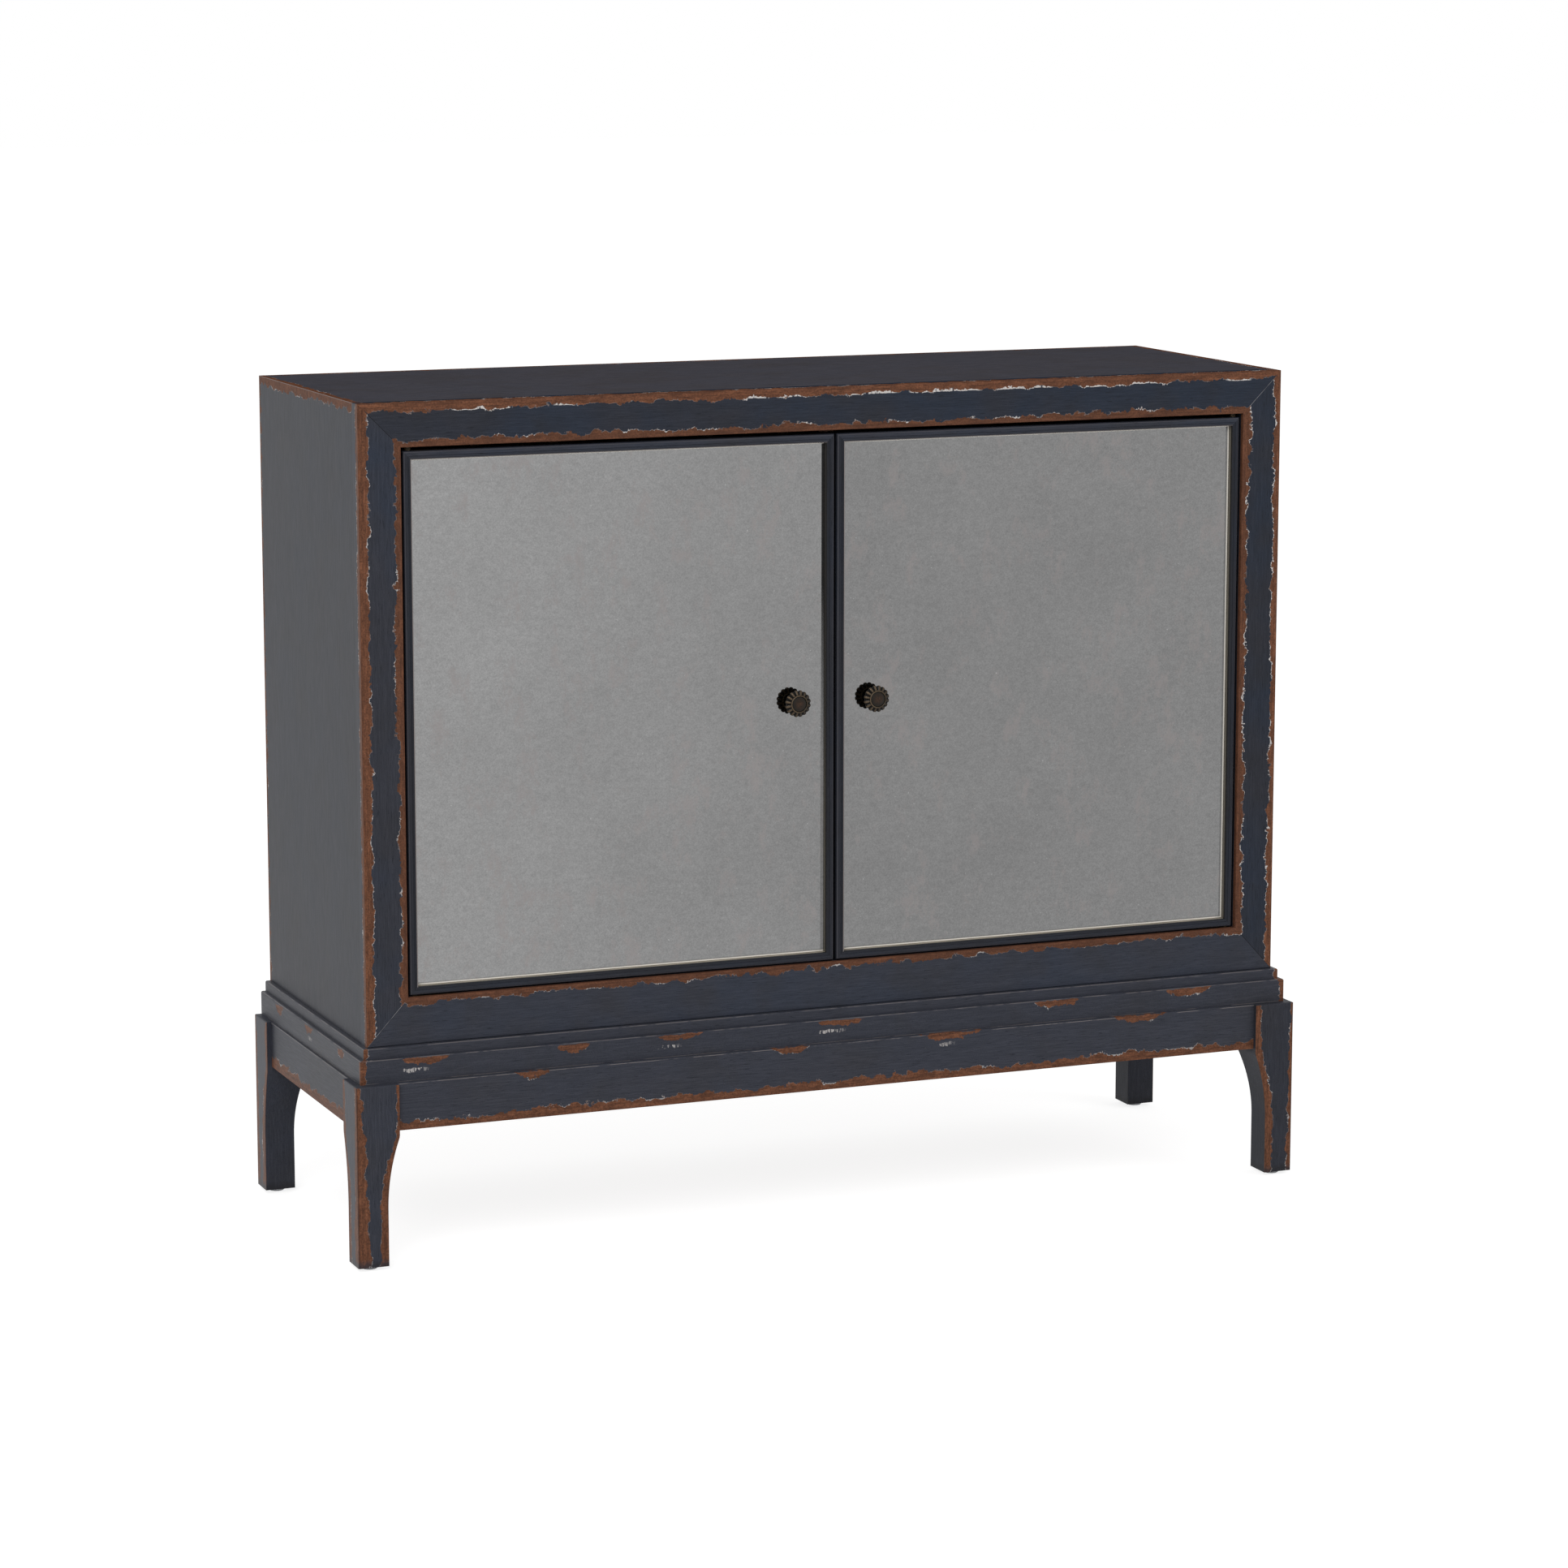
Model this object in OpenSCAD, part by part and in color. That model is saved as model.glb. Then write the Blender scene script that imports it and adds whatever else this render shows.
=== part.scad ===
// Two-door bar cabinet on a legged base: mitred face frame, inset mirror doors,
// a divided inside with shelves, a stemware rack and bottle cradles.
// +X is to the right, +Y to the back, +Z up; the origin is on the floor below the middle.

/* [Case] */
// Width of the case across its sides
case_width = 1128; // [960:1:1300]
// Depth of the case from the face frame to the back
case_depth = 384; // [350:1:450]
// Height of the case above the base moulding
case_height = 715; // [640:1:800]
// Thickness of the top and the side panels
panel_t = 20; // [18:0.5:24]
// Thickness of the bottom panel and the centre partition
inner_panel_t = 18; // [15:0.5:22]
// Thickness of the back panel
back_t = 6; // [4:0.5:9]
// Radius of the screws that hold the back panel
back_screw_r = 1.5; // [1.2:0.1:1.8]
// Length of the screws that hold the back panel
back_screw_l = 20; // [14:1:26]
// Height of the lowest screws of the back panel above the sides' lower ends
back_screw_low = 60; // [50:1:90]
// Distance of the highest screws of the back panel below the top panel
back_screw_high = 40; // [25:1:80]
// Width of the rebate that the back panel lies in
back_rebate_w = 10; // [6:0.5:12]
// Depth of the housings that hold the bottom panel and the partition
housing_d = 5; // [3:0.5:7]

/* [Face frame] */
// Width of the face frame's top rail and stiles
face_w = 49; // [40:0.5:64]
// Width of the face frame's bottom rail
face_bottom_w = 53; // [44:0.5:70]
// Thickness of the face frame members
face_t = 20; // [18:0.5:26]
// Radius of the face frame's front edges
face_r = 1.2; // [0.5:0.1:2]

/* [Doors] */
// Gap beside each door and between the two
door_gap = 3; // [2.5:0.1:4]
// Gap above each door
door_gap_top = 4.5; // [2:0.1:6]
// Gap below each door
door_gap_low = 1.5; // [1.2:0.1:4]
// Distance from the face frame's front back to the doors' front
door_recess = 3; // [1:0.5:6]
// Width of the door's frame moulding
door_frame_w = 9.5; // [9:0.5:14]
// Depth of the door's frame moulding in front of its board
door_frame_d = 12; // [11.5:0.5:16]
// Radius of the moulding's outer front edge
door_frame_r = 3; // [1:0.1:3.4]
// Radius of the quirk that runs along the moulding
quirk_r = 0.7; // [0.4:0.1:1]
// Distance of the quirk from the moulding's inner edge
quirk_from_inside = 3.4; // [2:0.1:4.2]
// Thickness of the board behind the mirror
door_board_t = 16; // [14:0.5:19]
// Thickness of the mirror
mirror_t = 4; // [3:0.5:6]
// Clearance of the mirror inside its frame
mirror_clearance = 0.5; // [0.2:0.1:1]
// Opening angle of the doors
door_opening_angle = 105; // [60:1:105]

/* [Knobs] */
// Distance of a knob's axis from its door's meeting edge
knob_from_edge = 47; // [40:1:90]
// Distance of the knob's axis below the middle of the door
knob_below_middle = 1.5; // [0:0.5:40]
// Radius of the knob over its lobes
knob_r = 15.5; // [13:0.5:20]
// Distance from the mirror to the knob's crown
knob_projection = 20; // [16:0.5:26]
// Number of lobes round the knob
knob_lobes = 16; // [12:1:20]
// Radius of a lobe at the knob's edge
lobe_r = 2.8; // [2.2:0.1:3]
// Radius of the knob screw
knob_screw_r = 2; // [1.5:0.25:2.5]

/* [Knife hinges] */
// Distance of the hinge pin from the door's hinged edge
pin_from_edge = 7; // [6.5:0.1:8]
// Distance of the hinge pin from the door's front
pin_from_front = 6; // [5.8:0.1:6.5]
// Radius of the hinge pin
pin_r = 2; // [1.5:0.1:2.2]
// Running clearance round the hinge pin
pin_clearance = 0.05; // [0.02:0.01:0.08]
// Depth that the pin reaches into the door
pin_reach = 8; // [5:0.5:9]
// Thickness of a hinge leaf
leaf_t = 2.5; // [2:0.1:3]
// Half the width of a hinge leaf
leaf_r = 3.5; // [3:0.1:3.8]
// Length of a hinge leaf past the pin
leaf_length = 48; // [30:1:70]

/* [Catches] */
// Width of a magnetic catch
catch_w = 14; // [10:0.5:18]
// Height of a magnetic catch
catch_h = 40; // [30:1:50]
// Depth of a magnetic catch
catch_d = 18; // [14:0.5:24]
// Distance of the catches below the top of the opening
catch_drop = 60; // [50:1:120]
// Thickness of the steel plate on the door
catch_plate_t = 1.2; // [0.8:0.1:1.5]
// Gap that the closed door keeps to its catch and to the partition
shut_gap = 0.3; // [0.2:0.1:0.5]
// Thickness of the door bumpers
bumper_t = 1.7; // [1.2:0.1:2.5]
// Radius of the bumpers on the doors' backs
bumper_r = 3.2; // [2.5:0.1:4]
// Distance from the bumpers to the doors' upper and lower edges
bumper_inset = 25; // [12:1:50]

/* [Inside] */
// Depth of the shelves
shelf_depth = 318; // [260:1:318]
// Thickness of the shelves
shelf_t = 18; // [15:0.5:22]
// Clearance of a shelf at each end
shelf_clearance = 1; // [0.5:0.5:3]
// Height of the lowest shelf hole above the floor of the case
first_hole = 236; // [200:1:260]
// Distance from one shelf hole to the next
hole_pitch = 32; // [25:1:40]
// Number of shelf holes in a column
hole_rows = 5; // [3:1:6]
// Row that holds the shelf, counted from the lowest
shelf_row = 2; // [0:1:2]
// Radius of a shelf pin
shelf_pin_r = 2.5; // [2:0.25:3]
// Depth of a shelf hole
shelf_hole_d = 8; // [6:0.5:8]
// Length of a shelf pin under the shelf
shelf_pin_out = 10; // [8:0.5:14]
// Distance of the shelf holes from the shelf's front and rear edges
hole_inset = 45; // [30:1:70]

/* [Stemware rack] */
// Width of a stemware rail's flange
flange_w = 64; // [56:1:72]
// Thickness of a stemware rail's flange
flange_t = 8; // [6:0.5:10]
// Width of a stemware rail's web
web_w = 12; // [9:0.5:16]
// Height of the room for a glass foot over the flange
foot_room = 20; // [14:0.5:26]
// Width of the slot for a glass stem
stem_slot = 28; // [22:1:34]
// Width of the two battens that carry the rails
batten_w = 45; // [30:1:60]

/* [Bottle cradles] */
// Distance from one bottle to the next
bottle_pitch = 104; // [96:1:120]
// Radius of the hollow for a bottle's body
bottle_r = 40; // [38:0.5:45]
// Radius of the hollow for a bottle's neck
neck_r = 17; // [15:0.5:20]
// Height of a bottle's axis above the floor of the case
bottle_axis = 62; // [56:1:80]
// Depth of the hollow for a bottle's body
bottle_hollow = 25; // [15:1:30]
// Depth of the hollow for a bottle's neck
neck_hollow = 12; // [8:0.5:15]
// Thickness of a cradle
cradle_t = 18; // [15:0.5:22]
// Distance between the two cradles
cradle_spread = 200; // [150:1:220]
// Distance from the rear cradle to the back panel
cradle_back = 90; // [60:1:110]

/* [Base] */
// Height of the moulding's upper step
step_h = 12; // [8:0.5:20]
// Projection of the upper step past the case
step_out = 6; // [3:0.5:10]
// Height of the band below the upper step
band_h = 27; // [20:0.5:40]
// Projection of the band past the case
band_out = 11.5; // [8:0.5:15]
// Width of the base frame's members, measured in from the case's faces
base_rail_w = 48; // [40:1:70]
// Radius of the moulding's upper edges
moulding_r = 2; // [0.5:0.1:3]
// Projection of the legs past the case's sides
leg_out_side = 20; // [16:0.5:26]
// Projection of the legs past the face frame
leg_out_front = 22; // [16:0.5:26]
// Distance of the aprons behind the legs' faces
apron_inset = 6; // [3:0.5:8]
// Height of the aprons
apron_h = 54; // [40:1:80]
// Thickness of the aprons
apron_t = 20; // [16:0.5:24]
// Length of the aprons' tenons
tenon_l = 16; // [10:1:18]
// Thickness of the aprons' tenons
tenon_t = 9; // [6:0.5:10]
// Height left above and below a tenon
tenon_shoulder = 7; // [5:0.5:12]
// Clearance round a tenon
tenon_clearance = 0.2; // [0.1:0.1:0.5]
// Reach of the corner blocks along the aprons
block_reach = 100; // [85:1:140]
// Height of the corner blocks
block_h = 40; // [30:1:50]

/* [Legs] */
// Height of the legs
leg_h = 206.5; // [160:0.5:260]
// Width of the leg's square top
leg_w = 50; // [44:0.5:60]
// Width of the leg's square foot
foot_w = 35.5; // [30:0.5:40]
// Distance from the aprons down to the top of the leg's curve
curve_drop = 3; // [1:0.5:12]
// Radius of the leg's hollow curve
leg_curve_r = 237; // [180:1:260]
// Radius that eases the curve into the leg's top
leg_ease_r = 15; // [6:1:20]
// Radius of the leg's outer edges
leg_r = 1.8; // [0.5:0.1:3]
// Radius of a glide
glide_r = 9.5; // [7:0.5:14]
// Height of a glide
glide_h = 4.5; // [3:0.5:8]
// Width of the bevel round a glide's foot
glide_rim = 1; // [0.5:0.1:1.5]
// Radius of the nail that holds a glide
glide_nail_r = 1.4; // [1:0.1:2]
// Length of the nail that holds a glide
glide_nail_l = 15; // [10:1:25]
// Radius of the bolts that hold the legs
bolt_r = 4; // [3:0.5:5]
// Depth that a bolt reaches into the leg
bolt_reach = 26; // [18:1:28]

/* [Hidden] */
$fn = 48;

// How far a cutting solid runs past what it cuts
past = 1;

paint = "#30363f";
inside_wood = "#6d4630";
silver = "#9a9a99";
bronze = "#3a322b";
steel = "#a9abad";
nylon = "#8f8f8c";

// The leg's hollow: centre of its curve, centre of the easing, and where the two meet
curve_x = foot_w + leg_curve_r;
ease_x = leg_w - leg_ease_r;
ease_rise = sqrt(pow(leg_curve_r + leg_ease_r, 2) - pow(curve_x - ease_x, 2));
foot_straight = leg_h - apron_h - curve_drop - ease_rise;
meet_x = curve_x - (curve_x - ease_x) * leg_curve_r / (leg_curve_r + leg_ease_r);
meet_y = foot_straight + ease_rise * leg_curve_r / (leg_curve_r + leg_ease_r);

// Levels, from the floor up
leg_top = glide_h + leg_h;
band_top = leg_top + band_h;
case_low = band_top + step_h;
case_top = case_low + case_height;

// Places across the width and the depth
half_w = case_width / 2;
back_y = (case_depth + leg_out_front) / 2;
face_y = back_y - case_depth;
panel_y = face_y + face_t;
leg_x = half_w + leg_out_side;
leg_y = back_y;

// The opening in the face frame
open_w = case_width - 2 * face_w;
open_low = case_low + face_bottom_w;
open_top = case_top - face_w;
open_h = open_top - open_low;

// The space inside
inner_x = half_w - panel_t;
inner_top = case_top - panel_t;
floor_z = open_low;
back_front_y = back_y - back_t;
bay_w = inner_x - inner_panel_t / 2;
bay_x = (inner_x + inner_panel_t / 2) / 2;

// The doors, with the left one's own middle
door_w = (open_w - 3 * door_gap) / 2;
door_h = open_h - door_gap_top - door_gap_low;
door_x = door_gap / 2 + door_w / 2;
door_z = open_low + door_gap_low + door_h / 2;
knob_z = door_z - knob_below_middle;
door_y = face_y + door_recess;
door_back_y = door_y + door_frame_d + door_board_t;
mirror_y = door_y + door_frame_d - mirror_t;
door_low = open_low + door_gap_low;
door_top = open_top - door_gap_top;
pin_x = open_w / 2 - door_gap - pin_from_edge;
pin_y = door_y + pin_from_front;
partition_y = door_back_y + bumper_t + shut_gap;
knob_x = door_gap / 2 + knob_from_edge;

// Shelves and what holds them
shelf_back_y = back_front_y - 4;
shelf_front_y = shelf_back_y - shelf_depth;
shelf_w = bay_w - 2 * shelf_clearance;
shelf_pin_z = floor_z + first_hole + shelf_row * hole_pitch;
shelf_z = shelf_pin_z + shelf_pin_r;
hole_ys = [shelf_front_y + hole_inset, shelf_back_y - hole_inset];

// The rack hangs below the opening's top edge, so that feet slide in from the front
rail_pitch = flange_w + stem_slot;
rail_count = floor((bay_w - flange_w) / rail_pitch) + 1;
rail_top = open_top;
rail_h = foot_room + flange_t;
rail_front_y = partition_y + 14;
rail_length = back_front_y - 6 - rail_front_y;

// Back panel's screws
back_screw_heights = [
    case_low + back_screw_low,
    floor_z + open_h / 3,
    floor_z + 2 * open_h / 3,
    inner_top - back_screw_high
];

// Cradles
bottle_count = floor((bay_w - 2 * bottle_r) / bottle_pitch) + 1;
body_cradle_y = back_front_y - cradle_back - cradle_t;
neck_cradle_y = body_cradle_y - cradle_spread;

// Base frame, aprons and corner blocks
base_member_w = base_rail_w + band_out;
band_x = half_w + band_out;
band_y = face_y - band_out;
apron_low = leg_top - apron_h;
leg_inner_x = leg_x - leg_w;
leg_inner_y = leg_y - leg_w;
apron_x = leg_x - apron_inset;
apron_y = leg_y - apron_inset;
block_x = apron_x - apron_t;
block_y = apron_y - apron_t;
block_low = apron_low + (apron_h - block_h) / 2;
bolt_z = block_low + block_h / 2;
// How far the leg's inner edge stands from the block's corner, and the bolt's way through it
block_gap = block_x - leg_inner_x;
bolt_way = (block_reach - 2 * block_gap) / sqrt(2);
bolt_length = bolt_reach + bolt_way + 14;

// The rounded-over corner of a section, to be cut from a square one
module arris(radius) {
    difference() {
        translate([-past, -past]) square(radius + past);
        translate([radius, radius]) circle(radius);
    }
}

// One bar of a mitred frame: its outer edge lies on z = 0 and its front on y = 0.
// The child is the bar's section, x from the outer edge in and y from the front back.
// The two bars that it meets, at its -X and its +X end, may have widths of their own.
module mitred_bar(length, width, depth, start_w, end_w) {
    grow = past / width;
    intersection() {
        rotate([0, -90, 0])
            linear_extrude(length + 2 * past, center = true)
                children();
        translate([0, depth + past, 0])
            rotate([90, 0, 0])
                linear_extrude(depth + 2 * past)
                    polygon([
                        [-length / 2 - grow * start_w, -past],
                        [length / 2 + grow * end_w, -past],
                        [length / 2 - (1 + grow) * end_w, width + past],
                        [(1 + grow) * start_w - length / 2, width + past]
                    ]);
    }
}

// A bar turned to its side of a frame that is width by height, middle at the origin
module frame_side(side, width, height) {
    turn = side == "bottom" ? 0 : side == "left" ? 90 : side == "top" ? 180 : -90;
    reach = side == "bottom" || side == "top" ? height / 2 : width / 2;
    rotate([0, turn, 0])
        translate([0, 0, -reach])
            children();
}

// The same piece at both sides of the cabinet
module both_sides() {
    children();
    mirror([1, 0, 0]) children();
}

// The same piece at all four legs
module four_corners() {
    both_sides() {
        children();
        mirror([0, 1, 0]) children();
    }
}

module face_section(width) {
    difference() {
        square([width, face_t]);
        arris(face_r);
        translate([width, 0]) mirror([1, 0]) arris(face_r);
    }
}

module face_bar(side) {
    upright = side == "left" || side == "right";
    length = upright ? case_height : case_width;
    width = side == "bottom" ? face_bottom_w : face_w;
    start_w = side == "right" ? face_bottom_w : face_w;
    end_w = side == "left" ? face_bottom_w : face_w;
    translate([0, face_y, case_low + case_height / 2])
        frame_side(side, case_width, case_height)
            mitred_bar(length, width, face_t, start_w, end_w)
                face_section(width);
}

module door_section() {
    difference() {
        square([door_frame_w, door_frame_d]);
        arris(door_frame_r);
        translate([door_frame_w - quirk_from_inside, 0]) circle(quirk_r);
    }
}

module door_bar(side) {
    length = side == "left" || side == "right" ? door_h : door_w;
    difference() {
        translate([-door_x, door_y, door_z])
            frame_side(side, door_w, door_h)
                mitred_bar(length, door_frame_w, door_frame_d, door_frame_w, door_frame_w)
                    door_section();
        door_hinge_cuts();
    }
}

// Plan of a knife hinge's leaf, round at the pin
module leaf_plan() {
    circle(leaf_r);
    translate([0, -leaf_r]) square([leaf_length, 2 * leaf_r]);
}

// Puts a hinge piece, drawn upwards from the door's edge, at the top and the bottom
module at_left_pins() {
    translate([-pin_x, pin_y, door_top]) {
        $gap = door_gap_top;
        children();
    }
    translate([-pin_x, pin_y, door_low]) mirror([0, 0, 1]) {
        $gap = door_gap_low;
        children();
    }
}

module frame_leaf() {
    translate([0, 0, $gap]) linear_extrude(leaf_t) leaf_plan();
    translate([0, 0, -pin_reach])
        cylinder(r = pin_r, h = pin_reach + $gap + leaf_t);
}

module door_leaf() {
    difference() {
        translate([0, 0, -leaf_t]) linear_extrude(leaf_t) leaf_plan();
        translate([0, 0, -leaf_t - past])
            cylinder(r = pin_r + pin_clearance, h = leaf_t + 2 * past);
    }
}

module door_hinge_cuts() {
    at_left_pins() {
        translate([0, 0, -leaf_t]) linear_extrude(leaf_t + past) leaf_plan();
        translate([0, 0, -pin_reach - past])
            cylinder(r = pin_r + 0.4, h = pin_reach + past);
    }
}

module frame_hinge_cuts() {
    both_sides()
        at_left_pins()
            translate([0, 0, $gap - past])
                linear_extrude(leaf_t + past)
                    leaf_plan();
}

// Puts a piece at each place where a screw holds the back panel
module at_back_screws() {
    side_x = inner_x + back_rebate_w / 2;
    for (z = back_screw_heights)
        for (side = [-1, 1])
            translate([side * side_x, back_y, z]) children();
    for (x = [-bay_x, 0, bay_x]) {
        translate([x, back_y, inner_top + back_rebate_w / 2]) children();
        translate([x, back_y, floor_z - inner_panel_t / 2]) children();
    }
}

module back_screw() {
    head_h = 1.6;
    rotate([90, 0, 0]) {
        cylinder(r1 = back_screw_r + head_h, r2 = back_screw_r, h = head_h);
        cylinder(r = back_screw_r, h = back_screw_l);
    }
}

module back_panel_screws() {
    color(steel)
        at_back_screws()
            difference() {
                back_screw();
                translate([-4, -0.8, -0.4]) cube([8, 2, 0.8]);
            }
}

module top_panel() {
    color(paint)
        difference() {
            translate([0, back_y, 0])
                rotate([90, 0, 0])
                    linear_extrude(back_y - panel_y)
                        polygon([
                            [-half_w, case_top],
                            [-inner_x, inner_top],
                            [inner_x, inner_top],
                            [half_w, case_top]
                        ]);
            back_rebate();
            partition_blank(0);
            at_back_screws() back_screw();
        }
}

// The room that the back panel takes out of the case's rear edges
module back_rebate() {
    translate([-inner_x - back_rebate_w, back_front_y, case_low - past])
        cube([2 * (inner_x + back_rebate_w), back_t + past, case_height - panel_t + back_rebate_w + past]);
}

module left_side() {
    color(paint)
        difference() {
            translate([0, back_y, 0])
                rotate([90, 0, 0])
                    linear_extrude(back_y - panel_y)
                        polygon([
                            [-half_w, case_low],
                            [-inner_x, case_low],
                            [-inner_x, inner_top],
                            [-half_w, case_top]
                        ]);
            back_rebate();
            bottom_blank();
            at_back_screws() back_screw();
            shelf_holes(-inner_x, 180);
        }
}

// A column of holes at each hole line, into the face at x, seen along the turn's own +X
module shelf_holes(x, turn) {
    for (y = hole_ys)
        for (row = [0 : hole_rows - 1])
            translate([x, y, floor_z + first_hole + row * hole_pitch])
                rotate([0, 90, turn])
                    translate([0, 0, -past])
                        cylinder(r = shelf_pin_r, h = shelf_hole_d + past);
}

module left_side_panel() left_side();

module right_side_panel() mirror([1, 0, 0]) left_side();

module bottom_blank() {
    translate([-inner_x - housing_d, panel_y, floor_z - inner_panel_t])
        cube([2 * (inner_x + housing_d), back_front_y - panel_y, inner_panel_t]);
}

module bottom_panel() {
    color(inside_wood)
        difference() {
            bottom_blank();
            partition_blank(0);
            at_back_screws() back_screw();
        }
}

module back_panel() {
    color(inside_wood)
        difference() {
            translate([-inner_x - back_rebate_w, back_front_y, case_low])
                cube([2 * (inner_x + back_rebate_w), back_t, case_height - panel_t + back_rebate_w]);
            at_back_screws() back_screw();
        }
}

module face_top_rail() {
    color(paint)
        difference() {
            face_bar("top");
            frame_hinge_cuts();
        }
}

module face_bottom_rail() {
    color(paint)
        difference() {
            face_bar("bottom");
            frame_hinge_cuts();
        }
}

module face_left_stile() {
    color(paint) face_bar("left");
}

module face_right_stile() {
    color(paint) face_bar("right");
}

module partition_blank(shrink) {
    low = floor_z - housing_d + shrink;
    translate([-inner_panel_t / 2, partition_y, low])
        cube([inner_panel_t, back_front_y - partition_y, inner_top + housing_d - shrink - low]);
}

module centre_partition() {
    color(inside_wood)
        difference() {
            partition_blank(0);
            shelf_holes(inner_panel_t / 2, 180);
            shelf_holes(-inner_panel_t / 2, 0);
            at_back_screws() back_screw();
        }
}

module shelf() {
    translate([bay_x - shelf_w / 2, shelf_front_y, shelf_z])
        cube([shelf_w, shelf_depth, shelf_t]);
}

module left_shelf() {
    color(inside_wood) mirror([1, 0, 0]) shelf();
}

module right_shelf() {
    color(inside_wood) shelf();
}

module shelf_pin() {
    rotate([0, 90, 0]) {
        translate([0, 0, -shelf_hole_d])
            cylinder(r = shelf_pin_r, h = shelf_hole_d + shelf_pin_out);
    }
}

module shelf_pins() {
    color(steel)
        both_sides()
            for (y = hole_ys) {
                translate([inner_panel_t / 2, y, shelf_pin_z]) shelf_pin();
                translate([inner_x, y, shelf_pin_z]) mirror([1, 0, 0]) shelf_pin();
            }
}

module stemware_battens() {
    length = (rail_count - 1) * rail_pitch + flange_w;
    color(inside_wood)
        for (y = [rail_front_y, rail_front_y + rail_length - batten_w])
            translate([-bay_x - length / 2, y, rail_top])
                cube([length, batten_w, inner_top - rail_top]);
}

module stemware_rail() {
    translate([0, rail_front_y + rail_length, rail_top - rail_h])
        rotate([90, 0, 0])
            linear_extrude(rail_length) {
                translate([-web_w / 2, 0]) square([web_w, rail_h]);
                translate([-flange_w / 2, 0]) square([flange_w, flange_t]);
            }
}

module stemware_rails() {
    first = -(rail_count - 1) * rail_pitch / 2;
    color(inside_wood)
        for (i = [0 : rail_count - 1])
            translate([first + i * rail_pitch - bay_x, 0, 0])
                stemware_rail();
}

// A board on the floor with a round hollow for each bottle
module cradle(front_y, radius, hollow) {
    board_h = bottle_axis - radius + hollow;
    first = -(bottle_count - 1) * bottle_pitch / 2;
    color(inside_wood)
        translate([bay_x, front_y, floor_z])
            difference() {
                translate([-shelf_w / 2, 0, 0]) cube([shelf_w, cradle_t, board_h]);
                for (i = [0 : bottle_count - 1])
                    translate([first + i * bottle_pitch, -past, bottle_axis])
                        rotate([-90, 0, 0])
                            cylinder(r = radius, h = cradle_t + 2 * past);
            }
}

module neck_cradle() cradle(neck_cradle_y, neck_r, neck_hollow);

module body_cradle() cradle(body_cradle_y, bottle_r, bottle_hollow);

// Stepped section of the base moulding: x from the band's face in, y up from its underside
module moulding_section() {
    set_back = band_out - step_out;
    difference() {
        union() {
            square([base_member_w, band_h]);
            translate([set_back, 0]) square([base_member_w - set_back, band_h + step_h]);
        }
        translate([0, band_h]) mirror([0, 1]) arris_edge(set_back);
        translate([set_back, band_h + step_h]) mirror([0, 1]) arris(moulding_r);
    }
}

// The arris of a ledge that runs on into the wall behind it
module arris_edge(ledge) {
    radius = min(moulding_r, ledge);
    difference() {
        translate([-past, 0]) square([radius + past, radius]);
        translate([radius, radius]) circle(radius);
    }
}

module base_moulding_front() {
    color(paint)
        intersection() {
            translate([0, band_y, leg_top])
                rotate([90, 0, 90])
                    linear_extrude(2 * band_x + 2 * past, center = true)
                        moulding_section();
            translate([0, band_y, leg_top - past])
                linear_extrude(band_h + step_h + 2 * past)
                    polygon([
                        [-band_x - past, -past],
                        [band_x + past, -past],
                        [band_x - base_member_w - past, base_member_w + past],
                        [base_member_w + past - band_x, base_member_w + past]
                    ]);
        }
}

module base_moulding_left() {
    color(paint)
        intersection() {
            translate([-band_x, back_y, leg_top])
                rotate([90, 0, 0])
                    linear_extrude(back_y - band_y + past)
                        moulding_section();
            translate([-band_x, band_y, leg_top - past])
                linear_extrude(band_h + step_h + 2 * past)
                    polygon([
                        [-past, -past],
                        [base_member_w + past, base_member_w + past],
                        [base_member_w + past, back_y - band_y],
                        [-past, back_y - band_y]
                    ]);
        }
}

module base_moulding_right() mirror([1, 0, 0]) base_moulding_left();

module base_rear_rail() {
    inner = band_x - base_member_w;
    color(paint)
        translate([-inner, back_y - base_rail_w, leg_top])
            cube([2 * inner, base_rail_w, band_h + step_h]);
}

// An apron that runs along X between two legs, its outer face on y = 0, with its tenons
module apron(length) {
    translate([-length / 2, 0, 0]) cube([length, apron_t, apron_h]);
    tenon_pair(length, 0);
}

module tenon_pair(length, clearance) {
    reach = length / 2 + tenon_l + (clearance > 0 ? past : 0);
    translate([-reach, (apron_t - tenon_t) / 2 - clearance, tenon_shoulder - clearance])
        cube([2 * reach, tenon_t + 2 * clearance, apron_h - 2 * tenon_shoulder + 2 * clearance]);
}

module front_apron() {
    color(paint) translate([0, -apron_y, apron_low]) apron(2 * leg_inner_x);
}

module rear_apron() {
    color(paint) mirror([0, 1, 0]) translate([0, -apron_y, apron_low]) apron(2 * leg_inner_x);
}

module left_apron() {
    color(paint) translate([-apron_x, 0, apron_low]) rotate([0, 0, -90]) apron(2 * leg_inner_y);
}

module right_apron() mirror([1, 0, 0]) left_apron();

// What the curve takes off one inner face of a leg: x from the outer face in, y up from the foot
module leg_hollow_section() {
    translate([foot_w, -past]) square([leg_w - foot_w + past, foot_straight + past]);
    intersection() {
        translate([curve_x, foot_straight]) circle(leg_curve_r, $fn = 180);
        translate([foot_w, foot_straight]) square([leg_w - foot_w + past, meet_y - foot_straight]);
    }
    difference() {
        translate([meet_x, meet_y])
            square([leg_w - meet_x + past, foot_straight + ease_rise - meet_y]);
        translate([ease_x, foot_straight + ease_rise]) circle(leg_ease_r);
    }
}

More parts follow.
